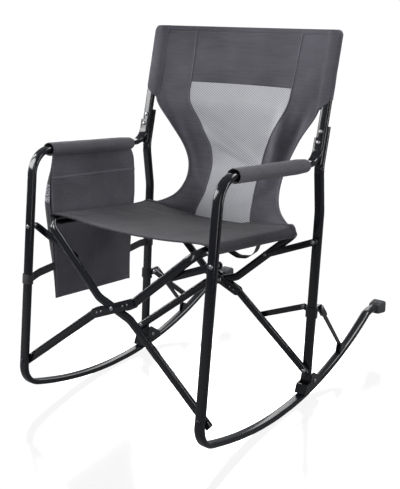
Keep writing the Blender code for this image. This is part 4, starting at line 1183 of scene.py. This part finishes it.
def make_arm_sleeve(side, x):
    """Padded cloth tube round the arm, open at its front end, with a seam along its inner underside."""
    sign = math.copysign(1.0, x)
    start, end = (Vector((x, y, arm_z(y))) for y in SLEEVE_Y)
    way = (end - start).normalized()
    up = way.cross(ACROSS).normalized()
    up = up if up.z > 0 else -up
    rings = []
    length = (end - start).length
    spots = [(0.022, 0.72), (0.006, 0.86), (0.0015, 0.91), (0.0, 0.955), (0.0015, 0.985)]
    spots += [(0.004 + (length - 0.010) * i / SLEEVE_STEPS, 1.0) for i in range(SLEEVE_STEPS + 1)]
    spots += [(length - 0.002, 0.95), (length, 0.86), (length + 0.0005, 0.74)]
    for depth, size in spots:  # the first ones turn the pad's end inward, as a mouth
        t = depth / length
        taper = 0.97 + 0.08 * t - 0.12 * max(0.0, t - 0.88) / 0.12
        ring = []
        for k in range(SLEEVE_POINTS):
            angle = 2 * math.pi * k / SLEEVE_POINTS
            wave = 1 + 0.026 * ripple(math.cos(angle) * 1.3, math.sin(angle) * 1.3, t * 9 + sign)
            seam = 1 - 0.035 * math.exp(-(((angle - math.pi * 1.5) / 0.16) ** 2))
            radius = size * taper * wave * seam
            wide, thick = SLEEVE_WIDE / 2 * radius, SLEEVE_THICK / 2 * radius
            centre = start + way * depth - up * SLEEVE_DROP
            ring.append(centre + ACROSS * wide * math.cos(angle) + up * thick * math.sin(angle))
        rings.append(ring)
    data = loft(rings)
    # Faces inside the mouth, and the face that closes it, take the near-black cloth: painted shade in the opening.
    for face in data.faces:
        depth = (face.calc_center_median() - start).dot(way)
        inner = (face.calc_center_median() - start - way * depth).length < SLEEVE_THICK * 0.40
        face.material_index = 1 if inner and depth < 0.03 else 0
    sleeve = piece(f"{side}_arm_pad", f"{side}_side", data, [SHADED_ARM_CLOTH, LINING_AND_SHADE_CLOTH], CLOTH_SHARP)
    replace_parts(sleeve, f"{side}_arm_sleeve")
    out = (-ACROSS * sign * 0.45 - up * 0.89).normalized()
    line = []
    for i in range(80):
        depth = 0.006 + (length - 0.014) * i / 79
        line.append(start + way * depth - up * SLEEVE_DROP + out * SLEEVE_THICK * 0.497)
    stitch_line(f"{side}_arm_stitches", line, out, f"{side}_side")


POCKET_EDGES = [  # the inner panel from the top: front edge's y and z, rear edge's y and z
    (-0.3560, 0.7260, -0.0260, 0.6960),
    (-0.3640, 0.6960, -0.0110, 0.6640),
    (-0.3700, 0.6470, -0.0080, 0.6170),
    (-0.3725, 0.6100, -0.0090, 0.5750),
    (-0.3730, 0.5690, -0.0130, 0.5290),
    (-0.3700, 0.4730, -0.0300, 0.4300),
    (-0.3710, 0.3800, -0.0400, 0.3500),
    (-0.3730, 0.2970, -0.0430, 0.2690),
]
# How far the pouch stands out from the inner panel at each of those rows
POUCH_DEPTHS = [0.000, 0.002, 0.017, 0.026, 0.031, 0.025, 0.013, 0.004]
POCKET_COLUMNS = 28
POCKET_FOLDS = [  # both ends' y and z, height, width
    ((-0.35, 0.66), (-0.20, 0.60), 0.0050, 0.016),
    ((-0.30, 0.56), (-0.05, 0.50), 0.0040, 0.020),
    ((-0.36, 0.48), (-0.16, 0.36), -0.0060, 0.022),
    ((-0.25, 0.46), (-0.05, 0.38), 0.0060, 0.020),
    ((-0.30, 0.34), (-0.10, 0.42), 0.0050, 0.018),
]


def pocket_grid(depths, across, start_row):
    """Grid over the pocket from a row of POCKET_EDGES: depths say how far each row stands out.

    across(t) gives the share of that depth outward and forward, at t from the front edge to the rear one.
    """
    rows = smooth_rows([(*edge, depth) for edge, depth in zip(POCKET_EDGES, depths)][start_row:], 7)
    grid = []
    for front_y, front_z, rear_y, rear_z, depth in rows:
        row = []
        for j in range(POCKET_COLUMNS + 1):
            t = (j / POCKET_COLUMNS) ** 1.6
            y, z = front_y + (rear_y - front_y) * t, front_z + (rear_z - front_z) * t
            out, ahead = across(t)
            soft = 0.5 * sum(fold_at(y, z, line) for line in POCKET_FOLDS) * min(1.0, 12 * t, 12 * (1 - t))
            soft += 0.0016 * ripple(y * 11, z * 9, 2.2) + 0.0007 * ripple(y * 40, z * 30, 6)
            row.append(Vector((POCKET_X - depth * out + soft, y - depth * ahead, z)))
        grid.append(row)
    return grid


def make_pocket():
    """Cloth pocket that hangs from the left arm: a flat inner panel and a pouch with a mesh end."""
    body = "left_side"
    panel_grid = pocket_grid([0.0] * len(POCKET_EDGES), lambda t: (0.0, 0.0), 0)
    panel = cloth_piece("pocket_panel", body, panel_grid, POCKET_CLOTH, HEAVY_CLOTH)

    def bulge(t):
        side = min(1.0, t / 0.025, (1 - t) / 0.10)
        return math.sin(side * math.pi / 2) ** 0.7, 0.15 * math.exp(-((t / 0.03) ** 2))

    pouch_grid = pocket_grid(POUCH_DEPTHS, bulge, 1)

    def choose(i, j):
        if j > 3:
            return 0
        return 1 if 0.585 < pouch_grid[i][j].z < 0.638 else 2

    pouch = cloth_piece("pocket_pouch", body, pouch_grid, [POCKET_CLOTH, NET_PAINTED_GLINTS, LINING_AND_SHADE_CLOTH], HEAVY_CLOTH, choose)
    trims = [pouch]
    seam, bottom = panel_grid[13], panel_grid[-1]
    for name, points, way, wide, thick, finish in (
        ("seam", seam, UP, 0.0090, 0.0044, TRIM_CLOTH),
        ("flap_hem", [point - ACROSS * 0.0006 for point in panel_grid[16]], UP, 0.0040, 0.0040, POCKET_CLOTH),
        ("bottom_hem", [point + UP * 0.006 for point in bottom], UP, 0.012, 0.0036, POCKET_CLOTH),
        ("top_hem", panel_grid[1], UP, 0.012, 0.0036, POCKET_CLOTH),
        ("front_hem", [row[0] + BACKWARD * 0.004 for row in panel_grid], BACKWARD, 0.008, 0.0040, TRIM_CLOTH),
        ("rear_hem", [row[-1] - BACKWARD * 0.004 for row in panel_grid], BACKWARD, 0.008, 0.0040, TRIM_CLOTH),
    ):
        trims.append(ribbon(f"pocket_{name}", points, way, ACROSS, wide, thick, finish))
    for name, points, rise in (("seam", seam, 0.0065), ("hem", bottom, 0.0135)):
        line = [point + UP * rise + ACROSS * 0.0010 for point in points]
        trims.append(stitch_line(f"pocket_{name}_stitches", line, ACROSS))
    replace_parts(panel, "side_pocket")
    for made in trims:
        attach(made, body)
    declare_sheet(panel_grid, trims[1:])
    declare_sheet(pouch_grid)
    for end, y, z, lean, on_pocket in (
        ("front", -0.4768, 0.385, FRONT_LEAN, (-0.372, 0.398)),
        ("rear", rear_leg_y(0.372), 0.372, REAR_LEAN, (-0.046, 0.366)),
    ):
        make_leg_strap(end, Vector((-HALF_SPAN, y, z)), lean, Vector((POCKET_X, *on_pocket)))


def make_leg_strap(end, centre, lean, on_pocket):
    """Band of webbing round a leg, and the tongue from it to the pocket's edge."""
    way = Vector((0.0, lean, 1.0)).normalized()
    data = bmesh.new()
    rings = []
    inner, outer = (flat_oval(FRAME_WIDE + more, FRAME_THICK + more) for more in (0.0010, 0.0052))
    back = way.cross(ACROSS)
    for outline, height in ((inner, -0.013), (outer, -0.0136), (outer, 0.0136), (inner, 0.013)):
        rings.append([data.verts.new(centre + way * height + ACROSS * u + back * v) for u, v in outline])
    join_rings(data, [*rings, rings[0]])
    soften_edges(data, 0.0007)
    band = piece(f"pocket_{end}_band", "left_side", data, WEBBING)
    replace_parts(band, f"pocket_{end}_strap")
    ahead = math.copysign(1.0, on_pocket.y - centre.y)
    first = centre + BACKWARD * ahead * (FRAME_THICK / 2 + 0.0020) - UP * 0.002
    middle = first.lerp(on_pocket, 0.35) + UP * 0.004
    path = rounded_path([first, middle, on_pocket + BACKWARD * ahead * 0.012], [0.05])
    ways = [along.cross(ACROSS).normalized() for along in tangents(path)]
    tongue = ribbon(f"pocket_{end}_tongue", path, ways, ACROSS, 0.024, STRAP_THICK, WEBBING)
    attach(tongue, "left_side")


# --- studio ---


def make_studio():
    data = bmesh.new()
    bmesh.ops.create_grid(data, x_segments=2, y_segments=2, size=9.0)
    mesh = bpy.data.meshes.new("studio_floor")
    data.to_mesh(mesh)
    data.free()
    mesh.materials.append(studio_floor())
    floor = new_object("studio_floor", mesh)
    floor.location.z = -0.0004
    world = bpy.data.worlds.new("studio")
    world.use_nodes = True
    tree = world.node_tree
    dim = tree.nodes["Background"]
    dim.inputs["Color"].default_value = (0.93, 0.96, 1.0, 1.0)
    dim.inputs["Strength"].default_value = 0.30
    bright = add_node(tree, "ShaderNodeBackground", {"Color": WHITE, "Strength": 1.05})
    tree.links.new(seen_or_lit(tree, bright, dim), tree.nodes["World Output"].inputs["Surface"])
    bpy.context.scene.world = world
    for name, place, wide, high, power in (
        ("key_light", (-2.5, -2.1, 2.3), 1.6, 1.6, 98.0),
        ("top_light", (0.5, 1.2, 2.8), 1.8, 0.8, 44.0),
        ("left_strip", (-2.4, -0.6, 1.3), 0.25, 2.2, 34.0),
        ("right_strip", (2.6, 0.2, 1.3), 0.25, 2.2, 36.0),
        ("front_strip", (0.5, -3.2, 1.4), 0.22, 2.2, 20.0),
        ("rear_light", (-1.9, 2.6, 1.9), 2.2, 1.3, 30.0),
    ):
        light = bpy.data.lights.new(name, "AREA")
        light.shape, light.size, light.size_y, light.energy = "RECTANGLE", wide, high, power
        lamp = new_object(name, light)
        lamp.location = place
        lamp.rotation_euler = (LAMP_TARGET - lamp.location).to_track_quat("-Z", "Y").to_euler()


def make_camera():
    camera = bpy.data.cameras.new("camera")
    camera.sensor_fit = "HORIZONTAL"
    camera.sensor_width = 36.0
    camera.lens = CAMERA_LENS
    placed = new_object("camera", camera)
    placed.location = CAMERA_PLACE - ORIGIN
    placed.rotation_euler = (math.radians(90.0 - CAMERA_DIP), 0.0, math.radians(CAMERA_TURN))
    bpy.context.scene.camera = placed
    bpy.context.scene.view_settings.view_transform = "Standard"


def finish_cad_nodes():
    """Gives the CAD pieces that stay visible their finish."""
    finishes = {"frame": FRAME_PAINT, "rivet": STEEL, "rubber": RUBBER, "cloth": BACK_CLOTH}
    slots = {entry["node"]: entry["material_slot"] for entry in frame["record"]["subparts"]}
    for name, node in frame["nodes"].items():
        node.data.materials.clear()
        node.data.materials.append(finishes[slots[name]])


# --- the scene ---

finish_cad_nodes()
for side, sign in SIDES:
    make_side_frame(side, sign * HALF_SPAN)
    make_tail(side, sign * HALF_SPAN)
    make_arm_sleeve(side, sign * HALF_SPAN)
make_scissor()
make_back()
make_seat()
make_pull_strap()
make_pocket()
make_studio()
make_camera()
